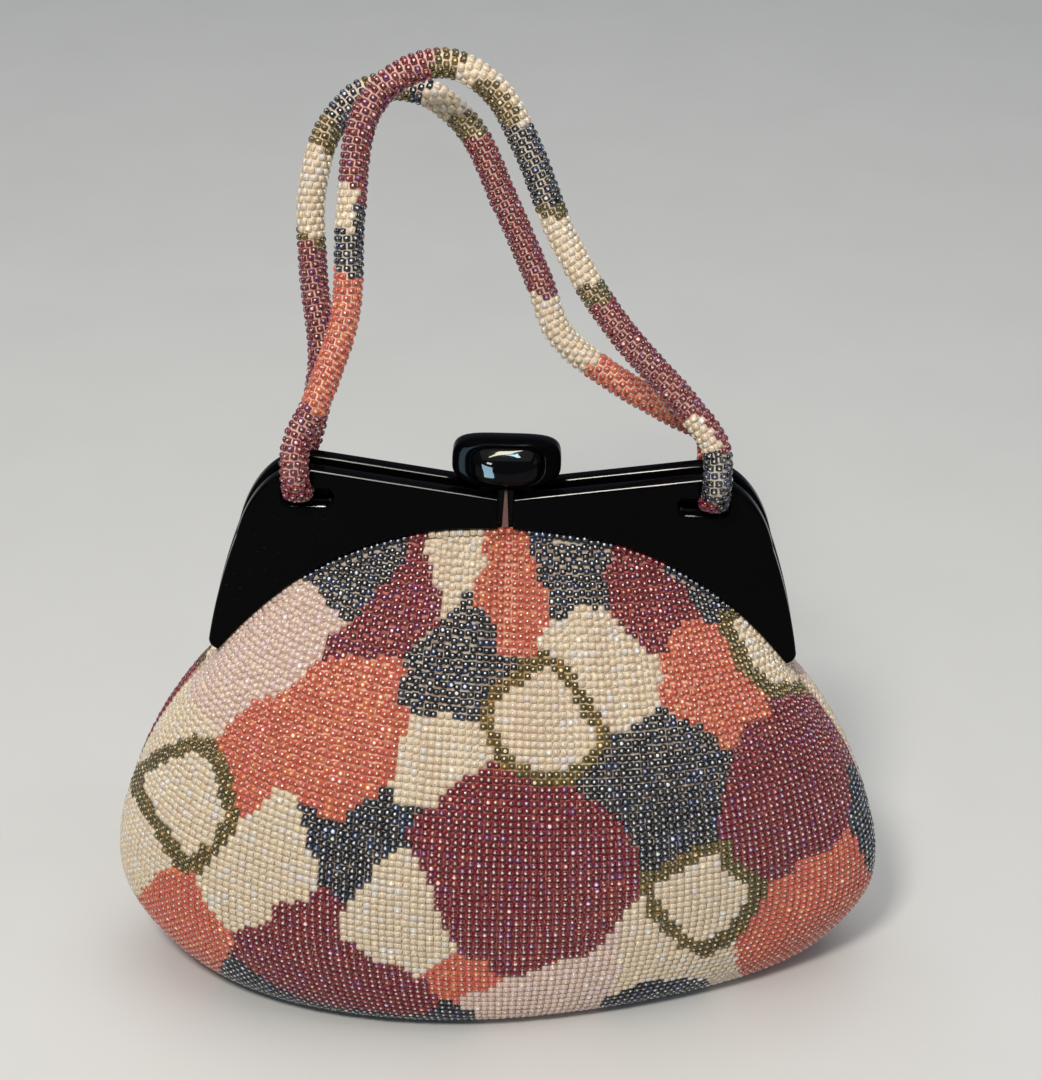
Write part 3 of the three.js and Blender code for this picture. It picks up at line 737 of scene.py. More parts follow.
def patch_colours(points):
    """The bead colour that the patches give each point."""
    spots = photo_pixels(points)
    colours = np.full(len(points), "cream", object)
    nearest = np.full(len(points), np.inf)
    for patch in PATCHES.values():
        inside, reach = outline_reach(patch.outline, spots)
        apart = np.where(inside, -1, reach)
        closer = apart < nearest
        colours[closer] = patch.colour
        if patch.rim:
            colours[closer & (reach < RIM_PIXELS)] = patch.rim
        nearest = np.minimum(nearest, apart)
    return colours


def panel_beads(facing, fullness, folds):
    """The places of a panel's beads: rows level across the belly, and one row along the arch."""
    fine = panel_face(facing, fullness, folds, FINE_ROWS, FINE_COLUMNS)
    face, outward = (values[::-1] for values in fine)
    steps = np.linalg.norm(np.diff(face, axis=0), axis=-1)
    ups = np.pad(steps.cumsum(axis=0), ((1, 0), (0, 0)))
    columns = np.arange(FINE_COLUMNS)
    middle_x = np.array([
        np.interp(ROW_MIDDLE_Z, face[:, column, 2], face[:, column, 0]) for column in columns])
    middle_z = ROW_MIDDLE_Z + ROW_SAG * middle_x**2 + facing * ROW_TILT * middle_x
    ups -= [np.interp(middle_z[column], face[:, column, 2], ups[:, column]) for column in columns]
    upward = np.gradient(face, axis=0)
    upward /= np.maximum(np.linalg.norm(upward, axis=-1, keepdims=True), 1e-12)
    stray = np.random.default_rng(BEAD_SEED)

    def row_line(heights):
        """The row at a height in each column above the belly, and how far along it each column is."""
        rows = np.arange(FINE_ROWS)
        level = np.array([np.interp(heights[column], ups[:, column], rows) for column in columns])
        below = np.minimum(level.astype(int), FINE_ROWS - 2)
        part = (level - below)[:, None]
        line = face[below, columns] * (1 - part) + face[below + 1, columns] * part
        length = np.concatenate([[0], np.linalg.norm(np.diff(line, axis=0), axis=-1).cumsum()])
        return below, line, length

    def row_beads(row, spots):
        """A bead at each spot of a row, shorter and in a zigzag where the stitches crowd."""
        below, line, length = row
        share = np.interp(spots, columns, np.gradient(length))
        pitch = share * np.gradient(spots)
        spots = spots + stray.normal(0, BEAD_STRAY, len(spots)) / np.maximum(share, 1e-6)

        def at(values):
            return np.stack([np.interp(spots, columns, values[:, axis]) for axis in range(3)], axis=-1)

        fit = np.clip(pitch / BEAD_PITCH, FIT_MIN, 1.0)
        crowding = 1 - smooth_step(pitch, STITCH_MIN, LOOSE_PITCH)
        zigzag = ZIGZAG * crowding * (-1.0) ** np.arange(len(spots))
        zigzag += stray.normal(0, BEAD_STRAY, len(spots))
        place = at(line) + at(upward[below, columns]) * zigzag[:, None]
        broad = SNUG + (1 - SNUG) * smooth_step(place[:, 2], *STRETCH_FADE)
        return Bead(place, at(outward[below, columns]), at(np.gradient(line, axis=0)), fit, broad)

    def even_spots(length, start, end, stitches):
        return np.interp(start + (np.arange(stitches) + 0.5) / stitches * (end - start), length, columns)

    heights = np.arange(ups.min() + FIRST_ROW, ups.max() - ARCH_GAP, STITCH_HEIGHT)
    lengths = [row_line(np.full(FINE_COLUMNS, height))[2] for height in heights]
    widest = max(lengths, key=lambda length: length[-1])
    wales = even_spots(widest, 0, widest[-1], STITCHES_WIDE)
    low, high = (np.interp(wales, columns, edge) for edge in (ups[0] + FIRST_ROW, ups[-1] - ARCH_GAP))
    rows = []
    for height in heights:
        row = row_line(np.full(FINE_COLUMNS, height))
        spots = wales[(low < height) & (height < high)]
        if len(spots) < 2:
            continue
        start, end = np.interp(spots[[0, -1]], columns, row[2])
        stitches = int((end - start) / STITCH_MIN)
        if height < 0 and 1 < stitches < len(spots):
            spots = even_spots(row[2], start, end, stitches)
        rows.append(row_beads(row, spots))
    edge = row_line(ups[-1] - EDGE_DROP)
    hem = row_beads(edge, even_spots(edge[2], 0, edge[2][-1], int(edge[2][-1] / EDGE_PITCH)))
    rows.append(hem._replace(place=hem.place + hem.stand * EDGE_PROUD))
    place, stand, along, fit, broad = (np.concatenate(values) for values in zip(*rows))
    stand /= np.linalg.norm(stand, axis=-1, keepdims=True)
    return Bead(place - stand * BEAD_HEIGHT / 2 * (1 + SIZE_SPREAD), stand, along, fit, broad)


def sew_colours(prefix, beads, colours):
    """One piece of sewn beads for each colour that is there."""
    pieces = []
    for step, colour in enumerate(GLASS):
        chosen = colours == colour
        if chosen.any():
            picked = Bead(*(values[chosen] for values in beads))
            pieces.append(sew(f"{prefix}_{colour}_beads", picked, colour, BEAD_SEED + step))
    return pieces


def paint_glass_light(piece, colours):
    """Paint a piece's thread with the light and shade that the glass lying on it casts, as a tint."""
    glass_lights = np.array([GLASS[colour].thread for colour in colours], np.float32)
    layer = piece.data.attributes.new("thread_glass_light", "FLOAT_COLOR", "POINT")
    layer.data.foreach_set("color", glass_lights.ravel())


def piece_places(piece):
    """The places of a piece's points."""
    places = np.zeros(3 * len(piece.data.vertices), np.float32)
    piece.data.vertices.foreach_get("co", places)
    return places.reshape(-1, 3)


# The back has the front's patches, turned half round
PATCH_TURNS = {"front": np.array([1, 1, 1]), "back": np.array([-1, -1, 1])}
for end, panel in PANELS.items():
    beads = panel_beads(*panel)
    pieces = sew_colours(end, beads, patch_colours(beads.place * PATCH_TURNS[end]))
    paint_glass_light(cloths[end], patch_colours(piece_places(cloths[end]) * PATCH_TURNS[end]))

# Frame plates
# Four moulded plates of glossy black plastic, two in front and two behind, with softened edges. The arch
# below grips the cloth, and each plate has a slot with a rounded lip for a handle.
PLATE_THICK = 0.0055
MOUTH_HALF = 0.0025
PLATE_BEVEL = 0.0013
SLIT_HALF = 0.0026
TOP_MIDDLE_Z = 0.1978
TOP_CORNER = (0.0665, 0.2078)
SHOULDER_CURVE = ((0.079, 0.2093), (0.0895, 0.197), (0.0934, 0.180))
SIDE_PULL = (0.1009, 0.1595)
TIP_CURVE = ((0.1045, 0.138), (0.1044, 0.1346))
ARCH_APEX_Z = 0.186
ARCH_RISE = 0.052
ARCH_HALF = 0.101
ARCH_STEPS = 48
SLOT = {"x": 0.0682, "z": 0.1974, "half_width": 0.009, "half_height": 0.0035}
CURVE_STEPS = 20
BEVEL_STEPS = 5
SHARP_EDGE = math.radians(35)


def arch_z(x):
    return ARCH_APEX_Z - ARCH_RISE * (abs(x) / ARCH_HALF) ** ARCH_POWER


def bezier(points, steps):
    """Places along a Bezier curve through its control points, without the first."""
    share = np.linspace(0, 1, steps + 1)[1:, None]
    points = [np.array(point, float) for point in points]
    while len(points) > 1:
        points = [a * (1 - share) + b * share for a, b in zip(points, points[1:])]
    return [tuple(point) for point in points[0]]


def plate_outlines():
    """The right-hand plate's outer edge and its slot, as (x, z) points."""
    top_z = TOP_MIDDLE_Z + (TOP_CORNER[1] - TOP_MIDDLE_Z) * SLIT_HALF / TOP_CORNER[0]
    edge = [(SLIT_HALF, top_z), TOP_CORNER]
    edge += bezier([TOP_CORNER, *SHOULDER_CURVE], CURVE_STEPS)
    edge += bezier([SHOULDER_CURVE[-1], SIDE_PULL, TIP_CURVE[0]], CURVE_STEPS)
    edge += bezier([*TIP_CURVE, (ARCH_HALF, arch_z(ARCH_HALF))], CURVE_STEPS // 2)
    for step in range(1, ARCH_STEPS + 1):
        x = SLIT_HALF + (ARCH_HALF - SLIT_HALF) * math.cos(step / ARCH_STEPS * math.pi / 2)
        edge.append((x, arch_z(x)))
    reach = SLOT["half_width"] - SLOT["half_height"]
    slot = []
    for side in (1, -1):
        for step in range(CURVE_STEPS + 1):
            angle = (step / CURVE_STEPS - 0.5) * math.pi
            slot.append((SLOT["x"] + side * (reach + SLOT["half_height"] * math.cos(angle)),
                         SLOT["z"] + side * SLOT["half_height"] * math.sin(angle)))
    return edge, slot


PLASTIC_IOR = 1.46
PLASTIC_DEEP = paint(2, 2, 3)
PLASTIC_PALE = paint(7, 7, 9)
PLASTIC_ROUGH = 0.06
PLASTIC_BUMP = {"strength": 0.05, "distance": 0.001}
PLATE_GLOSS = 0.035
RUB_GRAIN = {"scale": 38, "detail": 5}
RUB_EDGE = (0.45, 0.8)
RUB_ROUGH = 0.1
RUB_HEIGHT = 0.04
HAZE_GRAIN = {"scale": 9, "detail": 2}
HAZE_ROUGH = 0.05
DUST_COLOUR = paint(120, 116, 110)
DUST_SCALE = 420
DUST_EDGE = (0.02, 0.09)
DUST_HAZE = (0.52, 0.7)
DUST_SHARE = 0.35
DUST_ROUGH = 0.5


def black_plastic(name, gloss):
    """Glossy black plastic: faint rub marks in its polish, and a few grains of dust."""
    material, tree, shader = new_finish(name, IOR=PLASTIC_IOR, Specular_IOR_Level=gloss)
    rub = piece_grain(tree, **RUB_GRAIN)
    haze = piece_grain(tree, **HAZE_GRAIN)
    place = Shade.node(tree, "ShaderNodeTexCoord", out="Object")
    grains = Shade.node(tree, "ShaderNodeTexVoronoi", None, {"Vector": place, "Scale": DUST_SCALE})
    dust = (1 - grains.rise(*DUST_EDGE)) * haze.rise(*DUST_HAZE) * DUST_SHARE
    deep = mixed(tree, PLASTIC_DEEP, PLASTIC_PALE, haze)
    set_links(tree, shader, {
        "Base Color": mixed(tree, deep, DUST_COLOUR, dust),
        "Roughness": PLASTIC_ROUGH + rub.rise(*RUB_EDGE) * RUB_ROUGH + haze * HAZE_ROUGH + dust * DUST_ROUGH,
    })
    set_bump(tree, shader, haze + rub * RUB_HEIGHT, **PLASTIC_BUMP)
    return material


def set_finish(piece, finish):
    """One finish over the whole of a piece."""
    piece.data.materials.clear()
    piece.data.materials.append(finish)


plastic_finish = black_plastic("black plastic", PLATE_GLOSS)


def frame_plate(name, side, middle_y):
    """A plate cut from its outline, as a filled curve with a rounded edge made into a plain mesh."""
    drawing = bpy.data.curves.new(name, "CURVE")
    drawing.dimensions = "2D"
    drawing.fill_mode = "BOTH"
    drawing.extrude = PLATE_THICK / 2 - PLATE_BEVEL
    drawing.bevel_depth = PLATE_BEVEL
    drawing.bevel_resolution = BEVEL_STEPS
    drawing.offset = -PLATE_BEVEL
    for outline in plate_outlines():
        line = drawing.splines.new("POLY")
        line.points.add(len(outline) - 1)
        for point, (x, z) in zip(line.points, outline):
            point.co = (side * x, z, 0, 1)
        line.use_cyclic_u = True
    piece = made_plain(new_object(name, drawing), name)
    piece.data.transform(Matrix.Translation((0, middle_y, 0)) @ Matrix.Rotation(math.pi / 2, 4, "X"))
    piece.data.set_sharp_from_angle(angle=SHARP_EDGE)
    set_finish(piece, plastic_finish)
    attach(piece, "bag")
    return piece


plates = bpy.data.collections.new("plates")
for end, facing in (("front", -1), ("back", 1)):
    for hand, side in (("left", -1), ("right", 1)):
        plate = frame_plate(f"{end}_{hand}_plate", side, facing * (MOUTH_HALF + PLATE_THICK / 2))
        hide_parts(f"{end}_plate_{hand}")
        plates.objects.link(plate)

# Clasp
# A cushion-shaped block of the same black plastic with a polished dome on its front. It closes over a plain
# steel post between the plates and lifts about a line behind it.
Ring = namedtuple("Ring", "y half_width bottom top")
CLASP_RINGS = (
    Ring(0.0069, 0.0164, 0.2024, 0.2146),
    Ring(0.0066, 0.0175, 0.2008, 0.2160),
    Ring(0.0056, 0.0184, 0.1998, 0.2170),
    Ring(0.0036, 0.0187, 0.1993, 0.2177),
    Ring(-0.0004, 0.0187, 0.1990, 0.2185),
    Ring(-0.0030, 0.0186, 0.1999, 0.2186),
    Ring(-0.0043, 0.0179, 0.2006, 0.2184),
    Ring(-0.0052, 0.0164, 0.2012, 0.2180),
    Ring(-0.0056, 0.0146, 0.2016, 0.2177),
    Ring(-0.0056, 0.0132, 0.2018, 0.2174),
    Ring(-0.0052, 0.0125, 0.2019, 0.2172),
    Ring(-0.0060, 0.0122, 0.2020, 0.2170),
    Ring(-0.0078, 0.0116, 0.2030, 0.2160),
    Ring(-0.0096, 0.0104, 0.2042, 0.2148),
    Ring(-0.0110, 0.0085, 0.2055, 0.2134),
    Ring(-0.0119, 0.0060, 0.2069, 0.2119),
    Ring(-0.0123, 0.0033, 0.2082, 0.2105),
    Ring(-0.0124, 0.0010, 0.2090, 0.2097),
)
CLASP_SIDES = 64
CLASP_STEPS = 90
CLASP_SQUARE = {"upper": 4, "lower": 2.5}
BLOCK_GLOSS = 0.009
DOME_POLISH = 0.16
DOME_EDGE = (-0.0068, -0.0060)


def clasp_finish(name):
    """The black plastic, with a polish that begins at the edge of the dome."""
    material = black_plastic(name, BLOCK_GLOSS)
    tree = material.node_tree
    place = Shade.node(tree, "ShaderNodeTexCoord", out="Object")
    behind = Shade.node(tree, "ShaderNodeSeparateXYZ", None, {0: place}, out="Y").rise(*DOME_EDGE)
    set_links(tree, tree.nodes["Principled BSDF"], {"Coat Weight": (1 - behind) * DOME_POLISH})
    return material


def clasp_block(name):
    """The block lofted through its rings, with both ends closed."""
    rings = smooth_route(CLASP_RINGS, CLASP_STEPS)
    angle = np.arange(CLASP_SIDES) / CLASP_SIDES * 2 * math.pi
    square = np.where(np.sin(angle) > 0, CLASP_SQUARE["upper"], CLASP_SQUARE["lower"])
    reach = (np.abs(np.cos(angle)) ** square + np.abs(np.sin(angle)) ** square) ** (-1 / square)
    y, half_width, bottom, top = (rings[:, [column]] for column in range(4))
    x = half_width * reach * np.cos(angle)
    z = (top + bottom) / 2 + (top - bottom) / 2 * reach * np.sin(angle)
    points = np.stack([x, np.broadcast_to(y, x.shape), z], axis=-1).reshape(-1, 3)
    index = np.arange(CLASP_STEPS * CLASP_SIDES).reshape(CLASP_STEPS, CLASP_SIDES)
    after = np.roll(index, -1, axis=1)
    walls = np.stack([index[:-1], index[1:], after[1:], after[:-1]], axis=-1).reshape(-1, 4)
    hubs = [points[ring].mean(axis=0) for ring in (index[0], index[-1])]
    points = np.concatenate([points, hubs])
    caps = [(len(points) - 2, a, b) for a, b in zip(index[0], after[0])]
    caps += [(len(points) - 1, b, a) for a, b in zip(index[-1], after[-1])]
    return new_piece(name, points, walls.tolist() + caps, clasp_finish("polished plastic"))


clasp = clasp_block("clasp")
dome = bpy.data.collections.new("dome")
dome.objects.link(clasp)
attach(clasp, "clasp")
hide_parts("clasp_lever")


STEEL_DARK = paint(14, 14, 16)
STEEL_LIGHT = paint(34, 34, 37)
STEEL_GRAIN = {"scale": 260, "detail": 3}
STEEL_ROUGH = 0.25
STEEL_BUMP = {"strength": 0.1, "distance": 0.0002}


def steel_finish(name):
    """Blackened steel with a fine, uneven grain."""
    material, tree, shader = new_finish(name, Metallic=1.0)
    grain = piece_grain(tree, **STEEL_GRAIN)
    set_links(tree, shader, {
        "Base Color": mixed(tree, STEEL_DARK, STEEL_LIGHT, grain),
        "Roughness": STEEL_ROUGH + grain * STEEL_ROUGH,
    })
    set_bump(tree, shader, grain, **STEEL_BUMP)
    return material


steel = steel_finish("drawn steel")
for node in ("clasp_post", "hinge_pin_left", "hinge_pin_right"):
    set_finish(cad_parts[node], steel)

# Centre tab
# A strip of pink cloth that closes the slit between the two front plates, narrowing to the top. It is the
# pouch's own cloth drawn up into the frame, and has no beads.
TAB_DARK = paint(80, 50, 46)
TAB_LIGHT = paint(136, 91, 83)
TAB_SHEEN = 0.3
WEAVE_SCALE = 420
WEAVE_SHADE_SHARE = 0.6
TAB_GRAIN = {"scale": 1200, "detail": 3}
TAB_ROUGH = 0.75
TAB_FUZZ_ROUGH = 0.2
TAB_FUZZ_HEIGHT = 0.3
TAB_BUMP = {"strength": 0.5, "distance": 0.0003}
tab_finish, tab_tree, tab_shader = new_finish("pink cloth", Sheen_Weight=TAB_SHEEN)
tab_place = Shade.node(tab_tree, "ShaderNodeTexCoord", out="Object")
tab_weave = Shade.node(tab_tree, "ShaderNodeTexWave", {"bands_direction": "Z"}, {
    "Vector": tab_place, "Scale": WEAVE_SCALE})
tab_fuzz = piece_grain(tab_tree, **TAB_GRAIN)
# The tone is painted darker in the weave's grooves than on its ridges, as shade, and varies at random with
# the fuzz
tab_tone = tab_weave * WEAVE_SHADE_SHARE + tab_fuzz * (1 - WEAVE_SHADE_SHARE)
set_links(tab_tree, tab_shader, {
    "Base Color": mixed(tab_tree, TAB_DARK, TAB_LIGHT, tab_tone),
    "Roughness": TAB_ROUGH + tab_fuzz * TAB_FUZZ_ROUGH,
})
set_bump(tab_tree, tab_shader, tab_weave + tab_fuzz * TAB_FUZZ_HEIGHT, **TAB_BUMP)
set_finish(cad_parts["centre_tab"], tab_finish)

# Handles
# Two ropes crocheted round in the same thread, with a bead in each half stitch, so that they stand up by
# themselves. Each comes out of a slot, leans back, crosses over and goes into the other slot of its side.
ROPE_RADIUS = 0.0052
ROPE_CORE = 0.00418
ROPE_END_HEIGHT = 0.0024
ROPE_END_SHARE = 0.05
ROPE_FLAT_PART = 0.45
ROPE_STEPS = 240
ROPE_ROUND = 10
ROUND_HEIGHT = 0.0026
ROPE_BEAD_FIT = 0.91
ROPE_BEAD_BROAD = 0.95
ROPE_TWIST = 0.5
HANDLE_FOOT = (0.0168, 0.2006)
HANDLE_LEAN = math.radians(18)
SLOT_END = ((0.0028, 0.1982), (0.0080, 0.1984), (0.0136, 0.2036))
SLOT_END_X = 0.0712
FRONT_ROUTE = (
    (-0.0719, 0.0115), (-0.0706, 0.0215), (-0.0662, 0.030), (-0.0606, 0.0445), (-0.055, 0.064),
    (-0.0536, 0.097), (-0.0495, 0.129), (-0.039, 0.142), (-0.0225, 0.147), (-0.007, 0.139),
    (0.0045, 0.120), (0.0175, 0.090), (0.036, 0.062), (0.061, 0.035), (0.0706, 0.022), (0.0716, 0.011),
)
BACK_ROUTE = (
    (-0.069, 0.009), (-0.0654, 0.034), (-0.0686, 0.064), (-0.0693, 0.092), (-0.0635, 0.113),
    (-0.051, 0.126), (-0.033, 0.127), (-0.016, 0.115), (-0.003, 0.090), (0.0095, 0.063), (0.017, 0.045),
    (0.033, 0.032), (0.057, 0.0185), (0.069, 0.0125), (0.0714, 0.007),
)

# The bands of colour along each rope from its left-hand end: the colour, the pixel of the photograph where
# the band ends, and its right-hand side's colour if that is another. The sides meet right of the middle
Band = namedtuple("Band", "colour end right", defaults=[None])
FRONT_BANDS = (
    Band("wine", (314, 407)), Band("coral", (350, 273)), Band("navy", (351, 232)),
    Band("cream", (352, 203), "navy"), Band("cream", (353, 184), "wine"), Band("wine", (436, 62)),
    Band("bronze", (463, 66)), Band("cream", (482, 78)), Band("bronze", (518, 122), "cream"),
    Band("navy", (541, 203)), Band("bronze", (548, 217)), Band("cream", (588, 288)),
    Band("bronze", (595, 303)), Band("wine", (691, 420)), Band("cream", (712, 452), "wine"),
    Band("navy", (716, 500)), Band("wine", (716, 520), "navy"),
)
BACK_BANDS = (
    Band("wine", (306, 247)), Band("bronze", (306, 231)), Band("cream", (313, 146)),
    Band("bronze", (333, 118)), Band("navy", (362, 94)), Band("bronze", (410, 86)),
    Band("navy", (428, 95), "cream"), Band("cream", (458, 120)), Band("bronze", (472, 137)),
    Band("wine", (541, 292)), Band("cream", (592, 362)), Band("coral", (716, 480)),
)
BAND_SLANT = 0.0012
BAND_SPLIT_PIXELS = 5


def handle_line(facing, route):
    """The rope's middle line, at even steps, and two directions across it at each step."""
    ends = [[(side * SLOT_END_X, facing * y, z) for y, z in SLOT_END] for side in (-1, 1)]
    rope = [(across, facing * HANDLE_FOOT[0] + up * math.sin(HANDLE_LEAN),
             HANDLE_FOOT[1] + up * math.cos(HANDLE_LEAN)) for across, up in route]
    fine = smooth_route([*ends[0], *rope, *reversed(ends[1])], 4 * ROPE_STEPS)
    length = np.concatenate([[0], np.linalg.norm(np.diff(fine, axis=0), axis=-1).cumsum()])
    places = np.linspace(0, length[-1], ROPE_STEPS)
    line = np.stack([np.interp(places, length, fine[:, axis]) for axis in range(3)], axis=-1)
    ahead = np.gradient(line, axis=0)
    ahead /= np.linalg.norm(ahead, axis=-1, keepdims=True)
    across = np.zeros_like(line)
    across[0] = (1, 0, 0)
    for step in range(1, ROPE_STEPS):
        carried = across[step - 1] - ahead[step] * (across[step - 1] @ ahead[step])
        across[step] = carried / np.linalg.norm(carried)
    return places, line, ahead, across, np.cross(ahead, across)


def end_flatness(places):
    """1 where a rope is pressed flat in its slots, and 0 where it is round."""
    from_end = np.minimum(places, places[-1] - places) / (places[-1] * ROPE_END_SHARE)
    return 1 - smooth_step(from_end, ROPE_FLAT_PART, 1)


def rope_tree():
    """A round rope along a line of points: its half thickness is the points' "half"."""
    tree = bpy.data.node_groups.new("rope core", "GeometryNodeTree")
    sockets = [tree.interface.new_socket(name, in_out="INPUT", socket_type=f"NodeSocket{kind}")
               for name, kind in (("Line", "Geometry"), ("Sides", "Int"), ("Thread", "Material"))]
    tree.interface.new_socket("Rope", in_out="OUTPUT", socket_type="NodeSocketGeometry")
    given = tree.nodes.new("NodeGroupInput")
    entry = [Shade(given.outputs[socket.name]) for socket in sockets]
    half = Shade.node(tree, "GeometryNodeInputNamedAttribute", {"data_type": "FLOAT"}, {"Name": "half"})
    line = Shade.node(tree, "GeometryNodeMeshToCurve", None, {0: entry[0]})
    ring = Shade.node(tree, "GeometryNodeCurvePrimitiveCircle", None, {
        "Resolution": entry[1], "Radius": 1.0})
    rope = Shade.node(tree, "GeometryNodeCurveToMesh", None, {
        "Curve": line, "Profile Curve": ring, "Scale": half, "Fill Caps": True})
    rope = Shade.node(tree, "GeometryNodeRealizeInstances", None, {"Geometry": rope})
    rope = Shade.node(tree, "GeometryNodeSetMaterial", None, {"Geometry": rope, "Material": entry[2]})
    tree.links.new(rope.socket, tree.nodes.new("NodeGroupOutput").inputs[0])
    return tree, [socket.identifier for socket in sockets]


rope_core_tree, rope_inputs = rope_tree()
ROPE_SIDES = 16
ROPE_THREAD_DARK = paint(200, 172, 152)
# How much of the painted light and shade from the glass on it the rope's thread takes
ROPE_GLASS_LIGHT = 0.5
ROPE_FUZZ = {"scale": 700, "detail": 4}
ROPE_PLY = {"scale": 1500, "detail": 2}
ROPE_FUZZ_SHARE = 0.6
ROPE_TONES = (0.25, 0.65)
ROPE_POLISH = 0.2
ROPE_BUMP = {"strength": 0.7, "distance": 0.0004}


def rope_finish(name):
    """Crocheted cotton thread: plied yarn in close rounds, fuzzy and matt."""
    material, tree, shader = new_finish(name, **THREAD_SHEEN)
    fuzz = piece_grain(tree, **ROPE_FUZZ)
    ply = piece_grain(tree, **ROPE_PLY)
    yarn = fuzz * ROPE_FUZZ_SHARE + ply * (1 - ROPE_FUZZ_SHARE)
    thread = mixed(tree, ROPE_THREAD_DARK, THREAD_LIGHT, yarn.rise(*ROPE_TONES))
    set_links(tree, shader, {
        "Base Color": under_glass_light(tree, thread, ROPE_GLASS_LIGHT),
        "Roughness": THREAD_ROUGH - yarn * ROPE_POLISH,
    })
    set_bump(tree, shader, yarn, **ROPE_BUMP)
    return material


rope_thread = rope_finish("crocheted thread")


def rope_core(name, line, places):
    """The crocheted rope under the beads."""
    mesh = bpy.data.meshes.new(name)
    mesh.from_pydata([tuple(point) for point in line], [(i, i + 1) for i in range(len(line) - 1)], [])
    half = mesh.attributes.new("half", "FLOAT", "POINT")
    flat = end_flatness(places)
    halves = ROPE_CORE + (ROPE_CORE * ROPE_END_HEIGHT / ROPE_RADIUS - ROPE_CORE) * flat
    half.data.foreach_set("value", halves.astype(np.float32))
    source = new_object(name, mesh)
    turning = source.modifiers.new("rope core", "NODES")
    turning.node_group = rope_core_tree
    turning[rope_inputs[1]] = ROPE_SIDES
    turning[rope_inputs[2]] = rope_thread
    piece = made_plain(source, name)
    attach(piece, "bag")
    return piece


def band_colours(bands, line, places, points, along):
    """The bead colour that the bands give points of a rope."""
    shown = photo_pixels(line)
    heading = np.gradient(shown, axis=0)
    borders = [places[np.linalg.norm(shown - band.end, axis=1).argmin()] for band in bands]
    borders[-1] = places[-1]
    spots = photo_pixels(points)
    middle = np.stack([np.interp(along, places, shown[:, axis]) for axis in range(2)], axis=-1)
    ahead = np.stack([np.interp(along, places, heading[:, axis]) for axis in range(2)], axis=-1)
    aside = ahead[:, 0] * (spots - middle)[:, 1] - ahead[:, 1] * (spots - middle)[:, 0]
    slanted = along + BAND_SLANT * np.sign(aside)
    row = np.minimum(np.searchsorted(borders, slanted), len(bands) - 1)
    on_right = spots[:, 0] > middle[:, 0] + BAND_SPLIT_PIXELS
    sides = np.array([(band.colour, band.right or band.colour) for band in bands], object)
    return sides[row, on_right.astype(int)]


def rope_beads(facing, route):
    """The places of a rope's beads, round by round, and how far along the rope each one is."""
    places, line, ahead, across, upward = handle_line(facing, route)
    count = int((places[-1] - ROUND_HEIGHT) / ROUND_HEIGHT * ROPE_ROUND)
    turns = np.arange(count) / ROPE_ROUND
    along = ROUND_HEIGHT * (turns + 0.5)
    angle = (turns * (1 + ROPE_TWIST / ROPE_ROUND) * 2 * math.pi)[:, None]

    def at(values):
        return np.stack([np.interp(along, places, values[:, axis]) for axis in range(3)], axis=-1)

    stand = at(across) * np.cos(angle) + at(upward) * np.sin(angle)
    round_ways = at(upward) * np.cos(angle) - at(across) * np.sin(angle)
    flat = np.interp(along, places, end_flatness(places))[:, None]
    half = ROPE_RADIUS - BEAD_HEIGHT / 2
    offsets = stand * half
    low_offsets = offsets * np.array([1, 1, (ROPE_END_HEIGHT - BEAD_HEIGHT / 2) / half])
    beads = Bead(at(line) + offsets * (1 - flat) + low_offsets * flat, stand, round_ways,
                 np.full(count, ROPE_BEAD_FIT), np.full(count, ROPE_BEAD_BROAD))
    return line, places, beads, along


Handle = namedtuple("Handle", "facing route bands")
HANDLES = {"front": Handle(-1, FRONT_ROUTE, FRONT_BANDS), "back": Handle(1, BACK_ROUTE, BACK_BANDS)}
for end, handle in HANDLES.items():
    line, places, beads, along = rope_beads(handle.facing, handle.route)
    core = rope_core(f"{end}_handle_core", line, places)
    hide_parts(f"handle_{end}")
    core_points = piece_places(core)
    nearest = np.linalg.norm(core_points[:, None] - line, axis=-1).argmin(axis=1)
    paint_glass_light(core, band_colours(handle.bands, line, places, core_points, places[nearest]))
    colours = band_colours(handle.bands, line, places, beads.place, along)
    sew_colours(f"{end}_handle", beads, colours)

# Floor, light and camera
# A plain pale floor under soft studio lamps: one near the camera that lights each bead's middle, where a
# highlight is painted too, a wide one overhead, a dim one on the right, and small ones that only the black
# plastic shows. The camera looks down at the front from the photograph's angle.
FLOOR_HALF = 4.0
FLOOR_DARK = paint(205, 203, 199)
FLOOR_LIGHT = paint(212, 210, 206)
FLOOR_ROUGH = 0.7
FLOOR_GRAIN = {"scale": 14, "detail": 3}
floor_finish, floor_tree, floor_shader = new_finish("pale floor", Roughness=FLOOR_ROUGH)
floor_grain = piece_grain(floor_tree, **FLOOR_GRAIN)
floor_colour = mixed(floor_tree, FLOOR_DARK, FLOOR_LIGHT, floor_grain)
set_links(floor_tree, floor_shader, {"Base Color": floor_colour})
floor_corners = [(x * FLOOR_HALF, y * FLOOR_HALF, 0) for x, y in ((-1, -1), (1, -1), (1, 1), (-1, 1))]
floor = new_piece("floor", floor_corners, [(0, 1, 2, 3)], floor_finish)

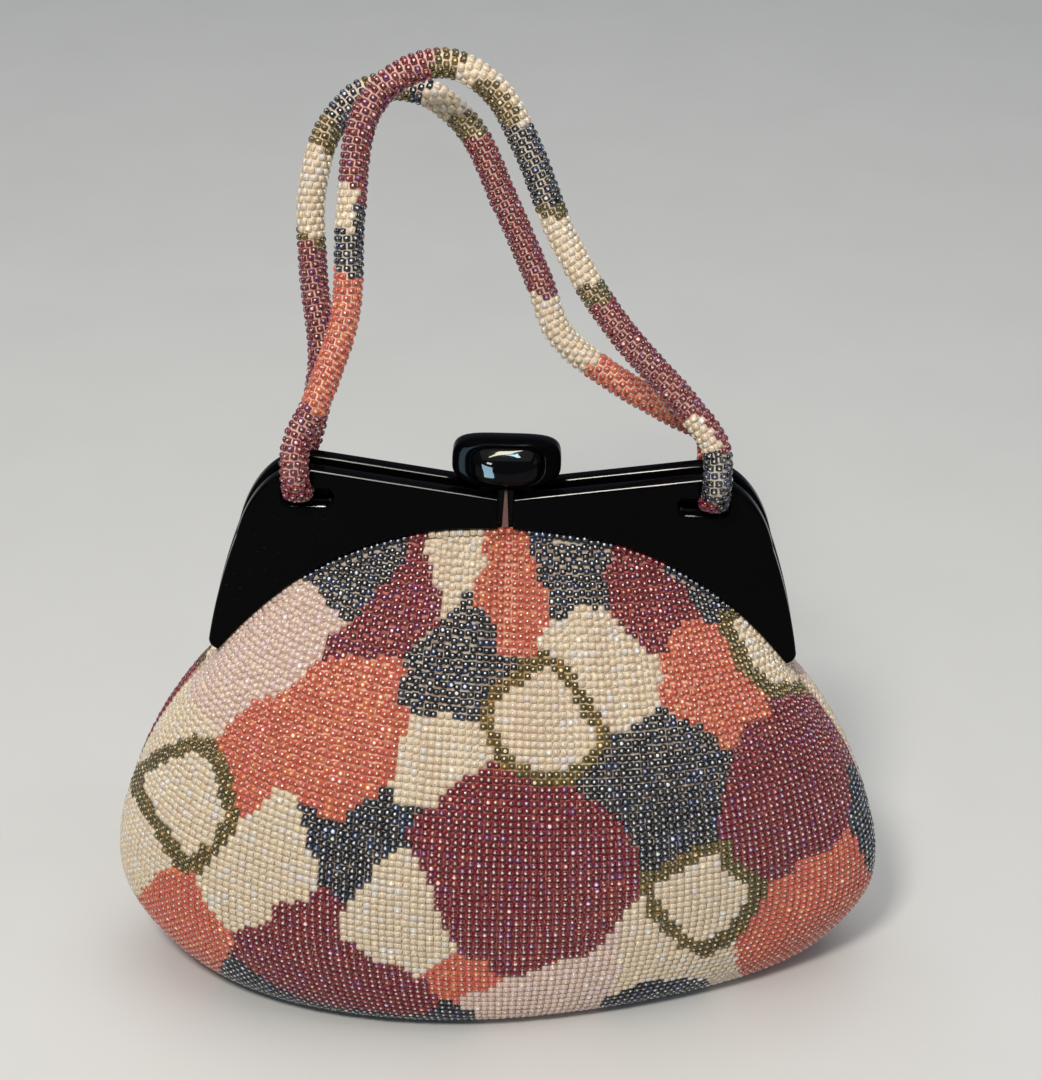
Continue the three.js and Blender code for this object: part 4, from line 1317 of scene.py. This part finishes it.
Lamp = namedtuple("Lamp", "place width depth watts colour lit")
LAMPS = {
    "key": Lamp((-0.3, -0.85, 1.22), 0.22, 0.22, 13.8, (1.0, 0.96, 0.9), None),
    "overhead": Lamp((0.0, 0.2, 2.2), 2.4, 2.4, 27, (1.0, 0.97, 0.93), None),
    "right": Lamp((1.2, -0.3, 0.8), 0.6, 0.6, 1.2, (0.9, 0.95, 1.0), None),
    "edges": Lamp((0.0, -0.55, 1.05), 0.9, 0.6, 260, (1.0, 0.96, 0.88), plates),
    "right edge": Lamp((-0.2, -0.55, 1.05), 0.3, 0.7, 160, (1.0, 0.96, 0.86), plates),
    "glint": Lamp((-0.03, -0.03, 1.02), 0.03, 0.3, 3.4, (1.0, 0.94, 0.72), dome),
    "sky": Lamp((0.03, -0.07, 1.02), 0.04, 0.1, 2, (0.5, 0.8, 1.0), dome),
    "window": Lamp((-0.1, -0.187, 0.165), 0.115, 0.28, 7, (0.5, 0.8, 1.0), dome),
}
LAMP_AIM = Vector((0, 0, 0.12))
for name, lamp in LAMPS.items():
    light = bpy.data.lights.new(name, "AREA")
    light.shape = "RECTANGLE"
    light.size = lamp.width
    light.size_y = lamp.depth
    light.energy = lamp.watts
    light.color = lamp.colour
    holder = new_object(name, light)
    holder.location = lamp.place
    holder.rotation_euler = (LAMP_AIM - holder.location).to_track_quat("-Z", "Y").to_euler()
    if lamp.lit:
        holder.visible_diffuse = False
        holder.visible_camera = False
        holder.light_linking.receiver_collection = lamp.lit

SKY_COLOUR = (0.72, 0.86, 1.0, 1)
SKY_STRENGTH = 0.28
bpy.context.scene.view_settings.view_transform = "Standard"
world = bpy.data.worlds.new("studio")
world.use_nodes = True
sky = world.node_tree.nodes["Background"].inputs
sky["Color"].default_value = SKY_COLOUR
sky["Strength"].default_value = SKY_STRENGTH
bpy.context.scene.world = world

SENSOR = 36
CAMERA_CLIP = (0.01, 20)
camera = new_object("camera", bpy.data.cameras.new("camera"))
camera.data.sensor_width = SENSOR
camera.data.lens = PIXELS_DEEP * SENSOR / max(PHOTO_SIZE)
camera.data.clip_start, camera.data.clip_end = CAMERA_CLIP
camera_axes = np.column_stack([camera_right, camera_up, -camera_ahead, camera_place])
camera.matrix_world = Matrix([*camera_axes.tolist(), [0, 0, 0, 1]])
bpy.context.scene.camera = camera
